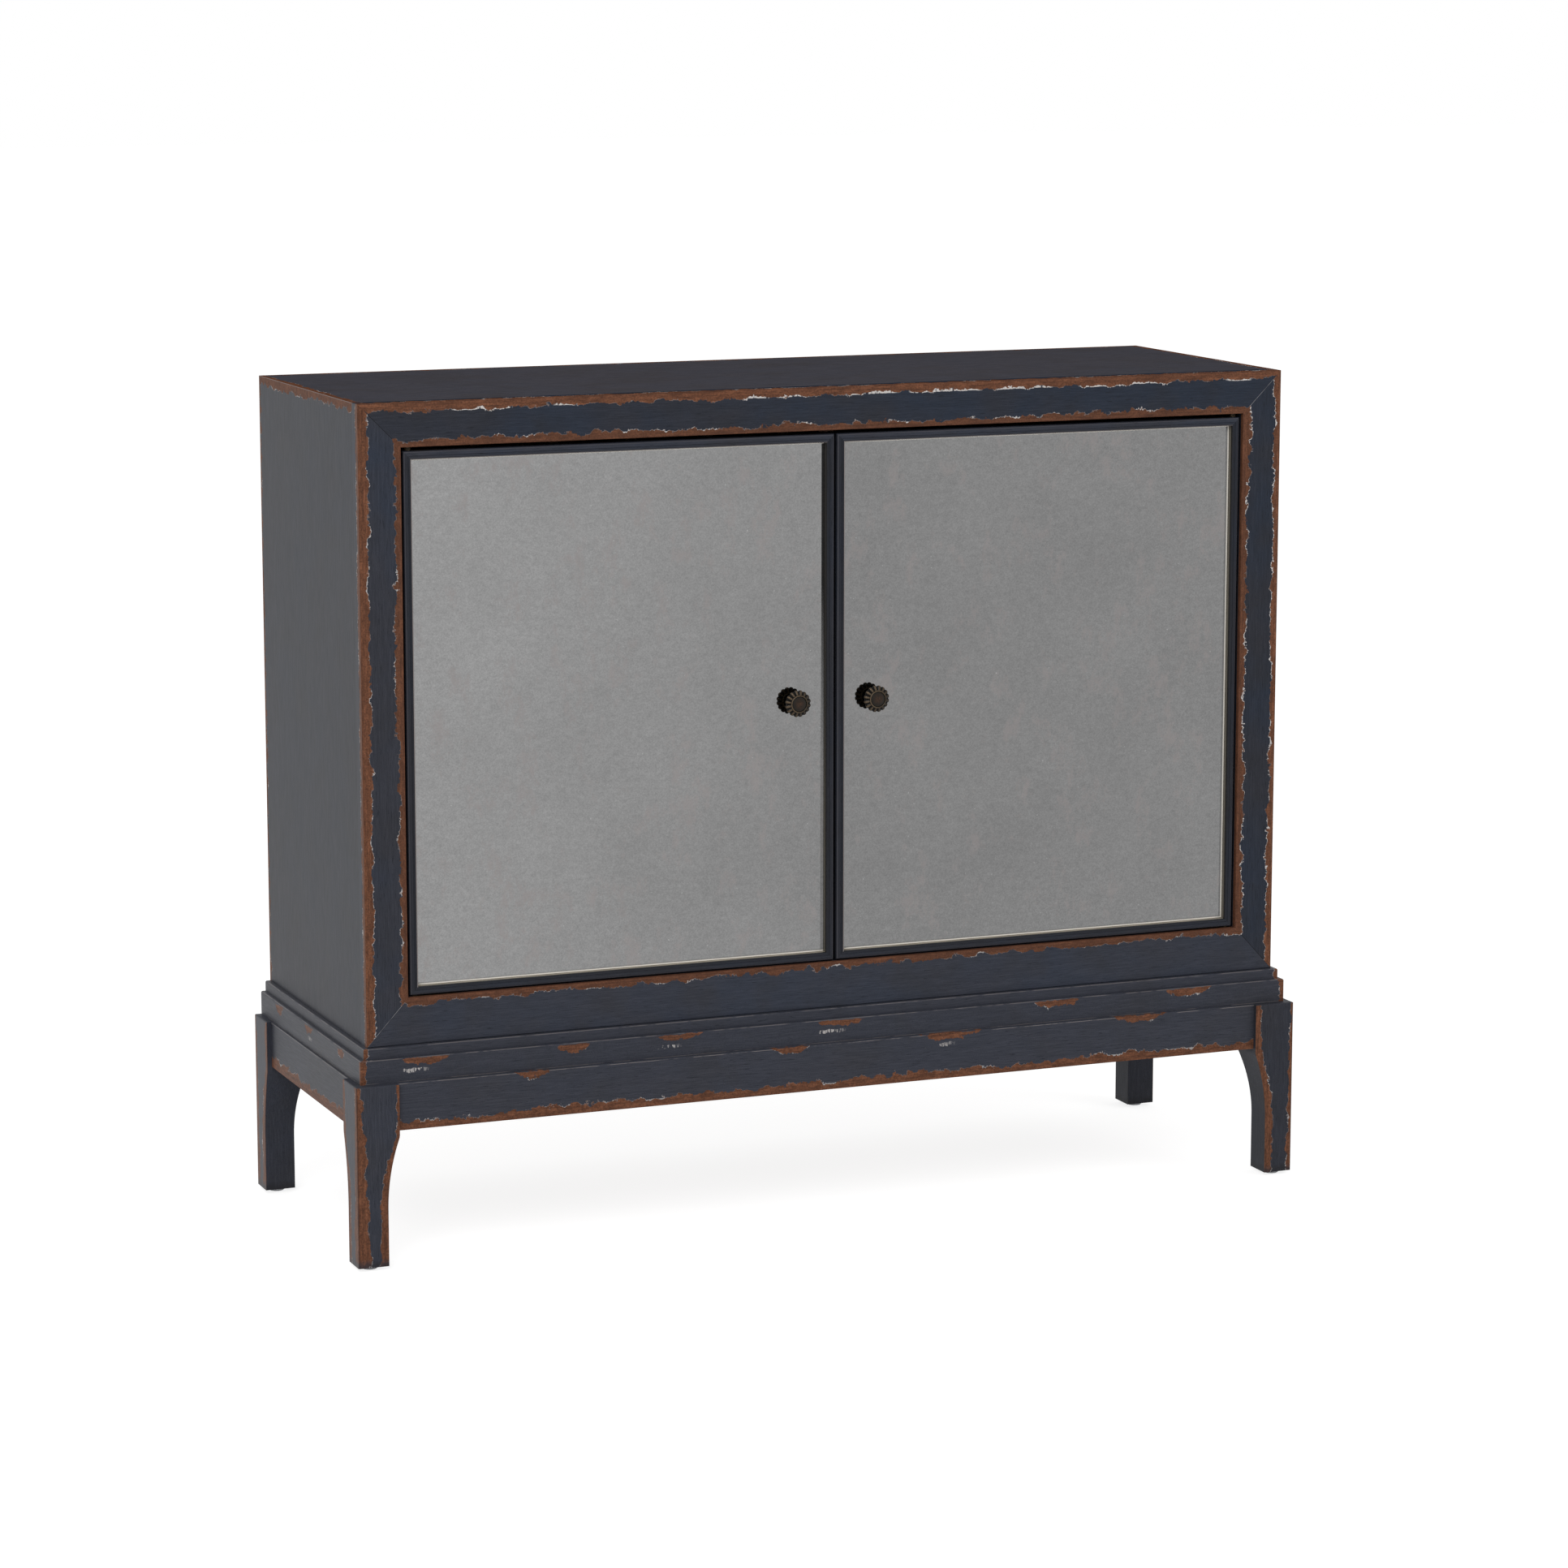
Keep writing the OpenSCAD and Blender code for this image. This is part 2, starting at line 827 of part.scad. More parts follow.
// The front left leg: square at the top, hollowed to its foot on both inner faces
module leg() {
    color(paint)
        difference() {
            translate([-leg_x, -leg_y, glide_h])
                linear_extrude(leg_h)
                    difference() {
                        square(leg_w);
                        arris(leg_r);
                    }
            translate([-leg_x - past, -leg_y, leg_top])
                rotate([90, 0, 90])
                    linear_extrude(leg_w + 2 * past)
                        mirror([0, 1]) arris(leg_r);
            translate([-leg_x, -leg_y + leg_w + past, leg_top])
                rotate([90, 0, 0])
                    linear_extrude(leg_w + 2 * past)
                        mirror([0, 1]) arris(leg_r);
            translate([-leg_x, -leg_y + leg_w + past, glide_h])
                rotate([90, 0, 0])
                    linear_extrude(leg_w + 2 * past)
                        leg_hollow_section();
            translate([-leg_x - past, -leg_y, glide_h])
                rotate([90, 0, 90])
                    linear_extrude(leg_w + 2 * past)
                        leg_hollow_section();
            translate([0, -apron_y, apron_low]) tenon_pair(2 * leg_inner_x, tenon_clearance);
            translate([-apron_x, 0, apron_low])
                rotate([0, 0, -90])
                    tenon_pair(2 * leg_inner_y, tenon_clearance);
            bolt_bore(bolt_r);
            glide_nail();
        }
}

module front_left_leg() leg();

module front_right_leg() mirror([1, 0, 0]) leg();

module rear_left_leg() mirror([0, 1, 0]) leg();

module rear_right_leg() mirror([1, 0, 0]) mirror([0, 1, 0]) leg();

// Puts a piece at the middle of the front left foot
module at_foot() {
    translate([foot_w / 2 - leg_x, foot_w / 2 - leg_y, 0]) children();
}

module glide_nail() {
    at_foot() translate([0, 0, glide_h - past]) cylinder(r = glide_nail_r, h = glide_nail_l + past);
}

module glide() {
    at_foot() {
        cylinder(r1 = glide_r - glide_rim, r2 = glide_r, h = glide_rim);
        translate([0, 0, glide_rim]) cylinder(r = glide_r, h = glide_h - glide_rim);
    }
    glide_nail();
}

module leg_glides() {
    color(nylon) four_corners() glide();
}

// A bolt's way from inside the front left leg out through its corner block
module bolt_bore(radius) {
    at_bolt() translate([0, 0, -bolt_reach]) cylinder(r = radius, h = bolt_length);
}

// The front left bolt's axis, from the leg's inner edge towards the middle of the base
module at_bolt() {
    translate([-leg_inner_x, -leg_inner_y, bolt_z]) rotate([0, 90, 45]) children();
}

module corner_block() {
    edge = tenon_clearance;
    difference() {
        translate([-block_x, -block_y, block_low])
            linear_extrude(block_h)
                polygon([[0, 0], [block_reach, 0], [0, block_reach]]);
        translate([-leg_x, -leg_y, block_low - past])
            cube([leg_w + edge, leg_w + edge, block_h + 2 * past]);
        bolt_bore(bolt_r + 0.3);
    }
}

module corner_blocks() {
    color(inside_wood) four_corners() corner_block();
}

module leg_bolts() {
    color(steel) four_corners() bolt_bore(bolt_r);
}

module leg_nut() {
    washer_t = 1.6;
    at_bolt()
        translate([0, 0, bolt_way])
            difference() {
                union() {
                    cylinder(r = 2.2 * bolt_r, h = washer_t);
                    translate([0, 0, washer_t]) cylinder(r = 1.85 * bolt_r, h = 1.6 * bolt_r, $fn = 6);
                }
                translate([0, 0, -past]) cylinder(r = bolt_r, h = 3 * bolt_r + past);
            }
}

module leg_nuts() {
    color(steel) four_corners() leg_nut();
}

module frame_hinge_leaves() {
    color(bronze) both_sides() at_left_pins() frame_leaf();
}

// A bronze ring on each pin, between the two leaves
module hinge_washers() {
    color(bronze)
        both_sides()
            at_left_pins()
                translate([0, 0, shut_gap])
                    difference() {
                        cylinder(r = leaf_r, h = $gap - shut_gap);
                        translate([0, 0, -past]) cylinder(r = pin_r, h = $gap + 2 * past);
                    }
}

// Middle of a catch's front face, on the partition's left side
catch_x = -inner_panel_t / 2 - catch_w / 2;
catch_y = door_back_y + catch_plate_t + shut_gap;
catch_z = open_top - catch_drop;
magnet_w = catch_w - 6;
magnet_h = catch_h - 14;
magnet_d = catch_d - 4;

module catch_housings() {
    color("#3b2a20")
        both_sides()
            difference() {
                translate([catch_x - catch_w / 2, catch_y, catch_z - catch_h / 2])
                    cube([catch_w, catch_d, catch_h]);
                translate([catch_x - magnet_w / 2, catch_y - past, catch_z - magnet_h / 2])
                    cube([magnet_w, magnet_d + past, magnet_h]);
            }
}

module catch_magnets() {
    color(steel)
        both_sides()
            translate([catch_x - magnet_w / 2, catch_y, catch_z - magnet_h / 2])
                cube([magnet_w, magnet_d, magnet_h]);
}

module knob_bore(radius, from_y, to_y) {
    translate([-knob_x, to_y, knob_z])
        rotate([90, 0, 0])
            cylinder(r = radius, h = to_y - from_y);
}

module door_board() {
    color(paint)
        difference() {
            translate([-door_x - door_w / 2, door_y + door_frame_d, door_low])
                cube([door_w, door_board_t, door_h]);
            knob_bore(knob_screw_r + 0.3, door_y, door_back_y + past);
        }
}

module mirror_pane() {
    margin = door_frame_w + mirror_clearance;
    color(silver)
        difference() {
            translate([margin - door_x - door_w / 2, mirror_y, door_low + margin])
                cube([door_w - 2 * margin, mirror_t, door_h - 2 * margin]);
            knob_bore(knob_screw_r + 0.3, door_y, door_back_y);
        }
}

// Half of the knob's section: foot, neck, head, raised ring and domed crown
module knob_section() {
    head = knob_projection;
    core = knob_r - 1.1;
    ring = 0.62 * knob_r;
    bead = 0.9;
    ring_drop = 2.1;
    wall = ring + bead - 0.15;
    crown_r = (pow(ring - bead, 2) + pow(ring_drop, 2)) / (2 * ring_drop);
    polygon([
        [0, 0],
        [7.5, 0],
        [7.5, 1.6],
        [5.4, 3.2],
        [4.8, 5.5],
        [6.2, 8],
        [core - 1.6, head - 9.2],
        [core, head - 7.4],
        [core, head - 6.1],
        [core - 0.4, head - 5.4],
        [wall, head - 3.75],
        [wall, head - ring_drop],
        [0, head - ring_drop]
    ]);
    translate([ring, head - ring_drop]) circle(bead);
    intersection() {
        translate([0, head - crown_r]) circle(crown_r, $fn = 96);
        translate([0, head - ring_drop - 1]) square([ring, ring_drop + 1]);
    }
}

// One lobe of the gadrooned rim, fat at the edge and narrower where it runs in under the ring
module knob_lobe() {
    inward = 0.38 * knob_r + 0.2 - lobe_r;
    upward = 2.45;
    length = norm([inward, upward]);
    small = 0.66 * lobe_r;
    slope = asin((lobe_r - small) / length);
    // The cone starts a little inside the ball, so that the two cross and don't only touch
    waist = 0.99;
    translate([knob_r - lobe_r, 0, knob_projection - 6.4])
        rotate([0, -atan2(inward, upward), 0])
            rotate([0, 0, 180])
                rotate_extrude()
                    intersection() {
                        union() {
                            circle(lobe_r);
                            polygon([
                                [0, 0],
                                waist * lobe_r * [cos(slope), sin(slope)],
                                [0, length] + waist * small * [cos(slope), sin(slope)],
                                [0, length + waist * small * sin(slope)]
                            ]);
                        }
                        translate([0, -lobe_r - past])
                            square([lobe_r + past, length + 2 * lobe_r + 2 * past]);
                    }
}

module knob() {
    color(bronze)
        difference() {
            translate([-knob_x, mirror_y, knob_z])
                rotate([90, 0, 0]) {
                    rotate_extrude() knob_section();
                    for (i = [0 : knob_lobes - 1])
                        rotate([0, 0, (i + 0.5) * 360 / knob_lobes])
                            knob_lobe();
                }
            knob_bore(knob_screw_r, mirror_y - 10, mirror_y + past);
        }
}

module knob_screw() {
    color(steel) {
        knob_bore(knob_screw_r, mirror_y - 9, door_back_y);
        difference() {
            knob_bore(2 * knob_screw_r, door_back_y, door_back_y + 2.4);
            translate([-knob_x - 2 * knob_screw_r, door_back_y + 1.2, knob_z - 0.5])
                cube([4 * knob_screw_r, 2, 1]);
        }
    }
}

module door_hinge_leaves() {
    color(bronze) at_left_pins() door_leaf();
}

module catch_plate() {
    color(steel)
        translate([catch_x - catch_w / 2 + 1, door_back_y, catch_z - catch_h / 2 + 4])
            cube([catch_w - 2, catch_plate_t, catch_h - 8]);
}

module bumpers() {
    color("#c9c9c4")
        for (z = [door_low + bumper_inset, door_top - bumper_inset])
            translate([-door_gap / 2 - bumper_r - 0.5, door_back_y + bumper_t, z])
                rotate([90, 0, 0])
                    cylinder(r = bumper_r, h = bumper_t);
}

module left_door_board() door_board();
module left_mirror() mirror_pane();
module left_door_top_rail() color(paint) door_bar("top");
module left_door_bottom_rail() color(paint) door_bar("bottom");
module left_door_hinge_stile() color(paint) door_bar("left");
module left_door_meeting_stile() color(paint) door_bar("right");
module left_knob() knob();
module left_knob_screw() knob_screw();
module left_door_hinge_leaves() door_hinge_leaves();
module left_catch_plate() catch_plate();
module left_bumpers() bumpers();

module right_door_board() mirror([1, 0, 0]) door_board();
module right_mirror() mirror([1, 0, 0]) mirror_pane();
module right_door_top_rail() mirror([1, 0, 0]) left_door_top_rail();
module right_door_bottom_rail() mirror([1, 0, 0]) left_door_bottom_rail();
module right_door_hinge_stile() mirror([1, 0, 0]) left_door_hinge_stile();
module right_door_meeting_stile() mirror([1, 0, 0]) left_door_meeting_stile();
module right_knob() mirror([1, 0, 0]) knob();
module right_knob_screw() mirror([1, 0, 0]) knob_screw();
module right_door_hinge_leaves() mirror([1, 0, 0]) door_hinge_leaves();
module right_catch_plate() mirror([1, 0, 0]) catch_plate();
module right_bumpers() mirror([1, 0, 0]) bumpers();

top_panel();
left_side_panel();
right_side_panel();
bottom_panel();
back_panel();
back_panel_screws();
face_top_rail();
face_bottom_rail();
face_left_stile();
face_right_stile();
centre_partition();
left_shelf();
right_shelf();
shelf_pins();
stemware_battens();
stemware_rails();
neck_cradle();
body_cradle();
base_moulding_front();
base_moulding_left();
base_moulding_right();
base_rear_rail();
front_apron();
rear_apron();
left_apron();
right_apron();
front_left_leg();
front_right_leg();
rear_left_leg();
rear_right_leg();
leg_glides();
corner_blocks();
leg_bolts();
leg_nuts();
frame_hinge_leaves();
hinge_washers();
catch_housings();
catch_magnets();
left_door_board();
left_mirror();
left_door_top_rail();
left_door_bottom_rail();
left_door_hinge_stile();
left_door_meeting_stile();
left_knob();
left_knob_screw();
left_door_hinge_leaves();
left_catch_plate();
left_bumpers();
right_door_board();
right_mirror();
right_door_top_rail();
right_door_bottom_rail();
right_door_hinge_stile();
right_door_meeting_stile();
right_knob();
right_knob_screw();
right_door_hinge_leaves();
right_catch_plate();
right_bumpers();
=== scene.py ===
"""Finishes and stage for the mirrored bar cabinet, laid out as an add-on and run as a script."""

import math

import bpy
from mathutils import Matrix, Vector


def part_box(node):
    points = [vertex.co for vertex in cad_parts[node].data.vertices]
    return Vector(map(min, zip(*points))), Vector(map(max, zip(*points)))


bl_info = {
    "name": "Mirrored Bar Cabinet",
    "version": (1, 0, 0),
    "blender": (4, 5, 0),
    "location": "3D View > Sidebar > Cabinet",
    "description": "Worn navy paint, aged mirrors, bronze fittings and a studio for a bar cabinet",
    "category": "Object",
}

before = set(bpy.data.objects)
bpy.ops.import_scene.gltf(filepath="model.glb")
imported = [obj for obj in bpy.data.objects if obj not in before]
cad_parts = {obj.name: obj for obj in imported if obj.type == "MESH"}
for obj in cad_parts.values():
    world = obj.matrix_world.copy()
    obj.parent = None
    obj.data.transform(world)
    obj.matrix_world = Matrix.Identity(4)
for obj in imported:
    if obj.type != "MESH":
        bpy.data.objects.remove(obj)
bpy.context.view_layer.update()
MM = 1000  # millimetres in a metre; lengths in the materials are in millimetres


def node_box(*names):
    """Lowest and highest corner of some CAD nodes together, in millimetres."""
    boxes = [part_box(name) for name in names]
    low = [MM * min(box[0][i] for box in boxes) for i in range(3)]
    high = [MM * max(box[1][i] for box in boxes) for i in range(3)]
    return low, high


FACE_BARS = ("face_top_rail", "face_bottom_rail", "face_left_stile", "face_right_stile")
LEGS = ("front_left_leg", "front_right_leg", "rear_left_leg", "rear_right_leg")
CASE_LOW, CASE_HIGH = node_box(*FACE_BARS)
FACE_Y = CASE_LOW[1]
HALF_WIDTH = CASE_HIGH[0]
CASE_BOTTOM, CASE_TOP = CASE_LOW[2], CASE_HIGH[2]
BACK_Y = node_box("top_panel")[1][1]
STILE_WIDTH = node_box("face_left_stile")[1][0] + HALF_WIDTH
OPENING_HALF = HALF_WIDTH - STILE_WIDTH
OPENING_LOW = node_box("face_bottom_rail")[1][2]
OPENING_HIGH = node_box("face_top_rail")[0][2]


def srgb(red, green, blue):
    """A colour given as it shows on a screen, 0 to 255, as the linear colour that nodes take."""
    out = []
    for value in (red, green, blue):
        value /= 255
        out.append(value / 12.92 if value <= 0.04045 else ((value + 0.055) / 1.055) ** 2.4)
    return (*out, 1.0)


def colour_property(name, description, value):
    return bpy.props.FloatVectorProperty(
        name=name, description=description, subtype="COLOR", size=4, min=0, max=1, default=value
    )


def length_property(name, description, millimetres):
    return bpy.props.FloatProperty(
        name=name, description=description, default=millimetres / MM, min=0, unit="LENGTH"
    )


class CabinetPaintSettings(bpy.types.PropertyGroup):
    """Colours of the rubbed paint and of what shows where it is worn through."""

    grey: colour_property("Navy Grey", "Paint where it has gone grey", srgb(49, 50, 57))
    blue: colour_property("Navy Blue", "Paint in the middle of wide faces", srgb(42, 50, 64))
    dark: colour_property("Dark Grain", "Paint rubbed into the grain", srgb(30, 33, 40))
    glaze: colour_property("Glaze", "Brownish glaze left in patches", srgb(45, 44, 46))
    wood: colour_property("Bare Wood", "Wood at the worn edges", srgb(110, 71, 51))
    # also the colour of the dim wood, which is partly painted shade
    wood_dark: colour_property("Dark Wood", "Darker grain of the bare wood", srgb(62, 40, 31))
    primer: colour_property("Primer", "White primer at the wear's rim", srgb(198, 193, 190))
    # along arrises the pale line is partly a painted highlight
    pale: colour_property("Pale Edge", "Pale line along chips and arrises", srgb(140, 132, 130))


class CabinetWearSettings(bpy.types.PropertyGroup):
    """How far the paint is worn back from each kind of edge."""

    frame_outer: length_property("Outer Edge", "Bare band along the face frame's outer edge", 7.6)
    frame_inner: length_property("Inner Edge", "Bare band along the face frame's inner edge", 8.6)
    side_top: length_property("Side Top", "Bare band along the top of each side", 9.5)
    apron: length_property("Apron", "Bare band along the aprons' lower edge", 9.6)
    leg: length_property("Leg", "Bare band along the legs' edges at the foot", 8.6)


class CabinetMirrorSettings(bpy.types.PropertyGroup):
    """The aged silvering of the door mirrors."""

    silver: colour_property("Silver", "Reflection's tint", srgb(141, 141, 141))
    # painted reflection: the right mirror's silver is set darker than the left's
    right_reflection_level: bpy.props.FloatProperty(
        name="Right Level", description="Brightness of the right mirror", default=0.945, min=0
    )
    # the bevel's pale colour is partly a painted highlight on the glass's edge
    bevel: colour_property("Bevel", "Bare edge of the glass", srgb(232, 227, 218))
    roughness: bpy.props.FloatProperty(
        name="Roughness", description="Blur of the reflection", default=0.015, min=0, max=1
    )


class CabinetMetalSettings(bpy.types.PropertyGroup):
    """Metal of the knobs, the hinges and the small steel parts."""

    bronze: colour_property("Bronze", "Oil-rubbed bronze", srgb(28, 23, 17))
    # on the knobs this also gives the painted highlights of the lobes
    bronze_high: colour_property("Rubbed Bronze", "Bronze on its high points", srgb(86, 72, 55))
    bronze_brown: colour_property("Brown Bronze", "Bronze browned by fingers", srgb(66, 44, 31))
    steel: colour_property("Steel", "Zinc-plated steel", srgb(178, 180, 182))


class CabinetStageSettings(bpy.types.PropertyGroup):
    """Camera and light."""

    eye: bpy.props.FloatVectorProperty(
        name="Camera", description="Place of the camera", subtype="TRANSLATION", unit="LENGTH",
        size=3, default=(-2.0856, -5.1462, 1.4507),
    )
    yaw: bpy.props.FloatProperty(
        name="Turn", description="How far the camera turns to the right of the depth axis",
        subtype="ANGLE", default=0.38654,
    )
    pitch: bpy.props.FloatProperty(
        name="Tilt", description="How far the camera looks down", subtype="ANGLE", default=0.17287
    )
    lens: bpy.props.FloatProperty(
        name="Lens", description="Focal length in millimetres", default=109.78
    )
    key_power: bpy.props.FloatProperty(
        name="Key Power", description="Power of the large key light", default=95.0, min=0,
        unit="POWER",
    )
    world_level: bpy.props.FloatProperty(
        name="Room Light", description="Level of the even light of the room", default=0.6, min=0
    )


def empty_tree(owner):
    """The cleared node tree of a new material or world."""
    owner.use_nodes = True
    owner.node_tree.nodes.clear()
    return owner.node_tree


class Surface:
    """One material, built node by node. Distances are in millimetres, noise scales per metre."""

    SOCKETS = {"colour": "Base Color", "roughness": "Roughness", "metallic": "Metallic",
               "specular": "Specular IOR Level"}

    def __init__(self, name):
        self.material = bpy.data.materials.new(name)
        self.tree = empty_tree(self.material)
        output = self.tree.nodes.new("ShaderNodeOutputMaterial")
        self.shader = self.tree.nodes.new("ShaderNodeBsdfPrincipled")
        self.put(output.inputs["Surface"], self.shader.outputs[0])
        self.place = self.tree.nodes.new("ShaderNodeTexCoord").outputs["Object"]
        split = self.tree.nodes.new("ShaderNodeSeparateXYZ")
        scaled = self.tree.nodes.new("ShaderNodeVectorMath")
        scaled.operation = "SCALE"
        scaled.inputs["Scale"].default_value = MM
        self.put(scaled.inputs[0], self.place)
        self.put(split.inputs[0], scaled.outputs[0])
        self.x, self.y, self.z = split.outputs

    def put(self, socket, value):
        """Links a socket to an output, or sets it to a plain value."""
        if isinstance(value, bpy.types.NodeSocket):
            self.tree.links.new(value, socket)
        else:
            socket.default_value = value

    def math(self, operation, first, second=0.0, third=0.0, clamp=False):
        """A number worked out from up to three others."""
        node = self.tree.nodes.new("ShaderNodeMath")
        node.operation = operation
        node.use_clamp = clamp
        for socket, value in zip(node.inputs, (first, second, third)):
            self.put(socket, value)
        return node.outputs[0]

    def plus(self, first, second):
        return self.math("ADD", first, second)

    def less(self, first, second):
        return self.math("SUBTRACT", first, second)

    def apart(self, first, second):
        """How far two numbers are apart."""
        return self.math("ABSOLUTE", self.less(first, second))

    def smallest(self, *values):
        out = values[0]
        for value in values[1:]:
            out = self.math("MINIMUM", out, value)
        return out

    def largest(self, *values):
        out = values[0]
        for value in values[1:]:
            out = self.math("MAXIMUM", out, value)
        return out

    def mix(self, share, first, second):
        """A colour that goes from first to second."""
        node = self.tree.nodes.new("ShaderNodeMix")
        node.data_type = "RGBA"
        self.put(node.inputs["Factor"], share)
        self.put(node.inputs[6], first)
        self.put(node.inputs[7], second)
        return node.outputs[2]

    def blend(self, share, first, second):
        """A number that goes from first to second."""
        node = self.tree.nodes.new("ShaderNodeMix")
        self.put(node.inputs["Factor"], share)
        self.put(node.inputs[2], first)
        self.put(node.inputs[3], second)
        return node.outputs[0]

    def noise(self, scale, detail=2.0, roughness=0.5, stretch=None, shift=(0, 0, 0),
              distortion=0.0):
        vector = self.place
        if stretch or any(shift):
            mapping = self.tree.nodes.new("ShaderNodeMapping")
            mapping.inputs["Scale"].default_value = stretch or (1, 1, 1)
            mapping.inputs["Location"].default_value = shift
            self.put(mapping.inputs["Vector"], vector)
            vector = mapping.outputs[0]
        node = self.tree.nodes.new("ShaderNodeTexNoise")
        self.put(node.inputs["Vector"], vector)
        node.inputs["Scale"].default_value = scale
        node.inputs["Detail"].default_value = detail
        node.inputs["Roughness"].default_value = roughness
        node.inputs["Distortion"].default_value = distortion
        return node.outputs["Fac"]

    def over(self, value, edge, soft):
        """1 where value is over edge, 0 where it is under, with a soft step."""
        return self.math("MULTIPLY_ADD", self.less(value, edge), 1 / soft, 0.5, clamp=True)

    def under(self, value, edge, soft):
        return self.math("MULTIPLY_ADD", self.less(edge, value), 1 / soft, 0.5, clamp=True)

    def times(self, *values):
        out = values[0]
        for value in values[1:]:
            out = self.math("MULTIPLY", out, value)
        return out

    def scale_colour(self, colour, factor):
        """A colour made lighter or darker by a number that varies."""
        node = self.tree.nodes.new("ShaderNodeVectorMath")
        node.operation = "SCALE"
        self.put(node.inputs[0], colour)
        self.put(node.inputs["Scale"], factor)
        return node.outputs[0]

    def bump(self, height, distance, strength=1.0):
        """Relief of the finish; the distance is in metres."""
        node = self.tree.nodes.new("ShaderNodeBump")
        node.inputs["Distance"].default_value = distance
        node.inputs["Strength"].default_value = strength
        self.put(node.inputs["Height"], height)
        self.put(self.shader.inputs["Normal"], node.outputs[0])

    def set(self, **sockets):
        for name, value in sockets.items():
            self.put(self.shader.inputs[self.SOCKETS[name]], value)

    def shaded(self, colour, factor):
        """A colour times one factor, or times one factor for each channel."""
        factors = factor if isinstance(factor, tuple) else (factor,) * 3
        return [min(1, share * value) for share, value in zip(factors, colour)] + [1]

    def stained(self, grain):
        """Stained wood of the inside, and its pores."""
        figure = self.noise(1.1, 4, 0.6, along(grain, 30), distortion=0.6)
        pores = self.noise(14, 2, 0.6, along(grain, 90))
        colour = self.mix(self.over(figure, 0.5, 0.35), srgb(124, 82, 56), srgb(98, 62, 42))
        dark = self.times(self.over(pores, 0.6, 0.1), 0.6)
        return self.mix(dark, colour, srgb(70, 42, 28)), pores

    def outside(self, centre_x, centre_z, half_x, half_z):
        """Distance outside an upright rectangle, measured square to its sides."""
        across = self.less(self.apart(self.x, centre_x), half_x)
        up = self.less(self.apart(self.z, centre_z), half_z)
        return self.largest(across, up)


def along(grain, ratio):
    """Stretch that makes noise that many times longer along the grain than across it."""
    return tuple(1 if axis == grain else ratio for axis in "xyz")


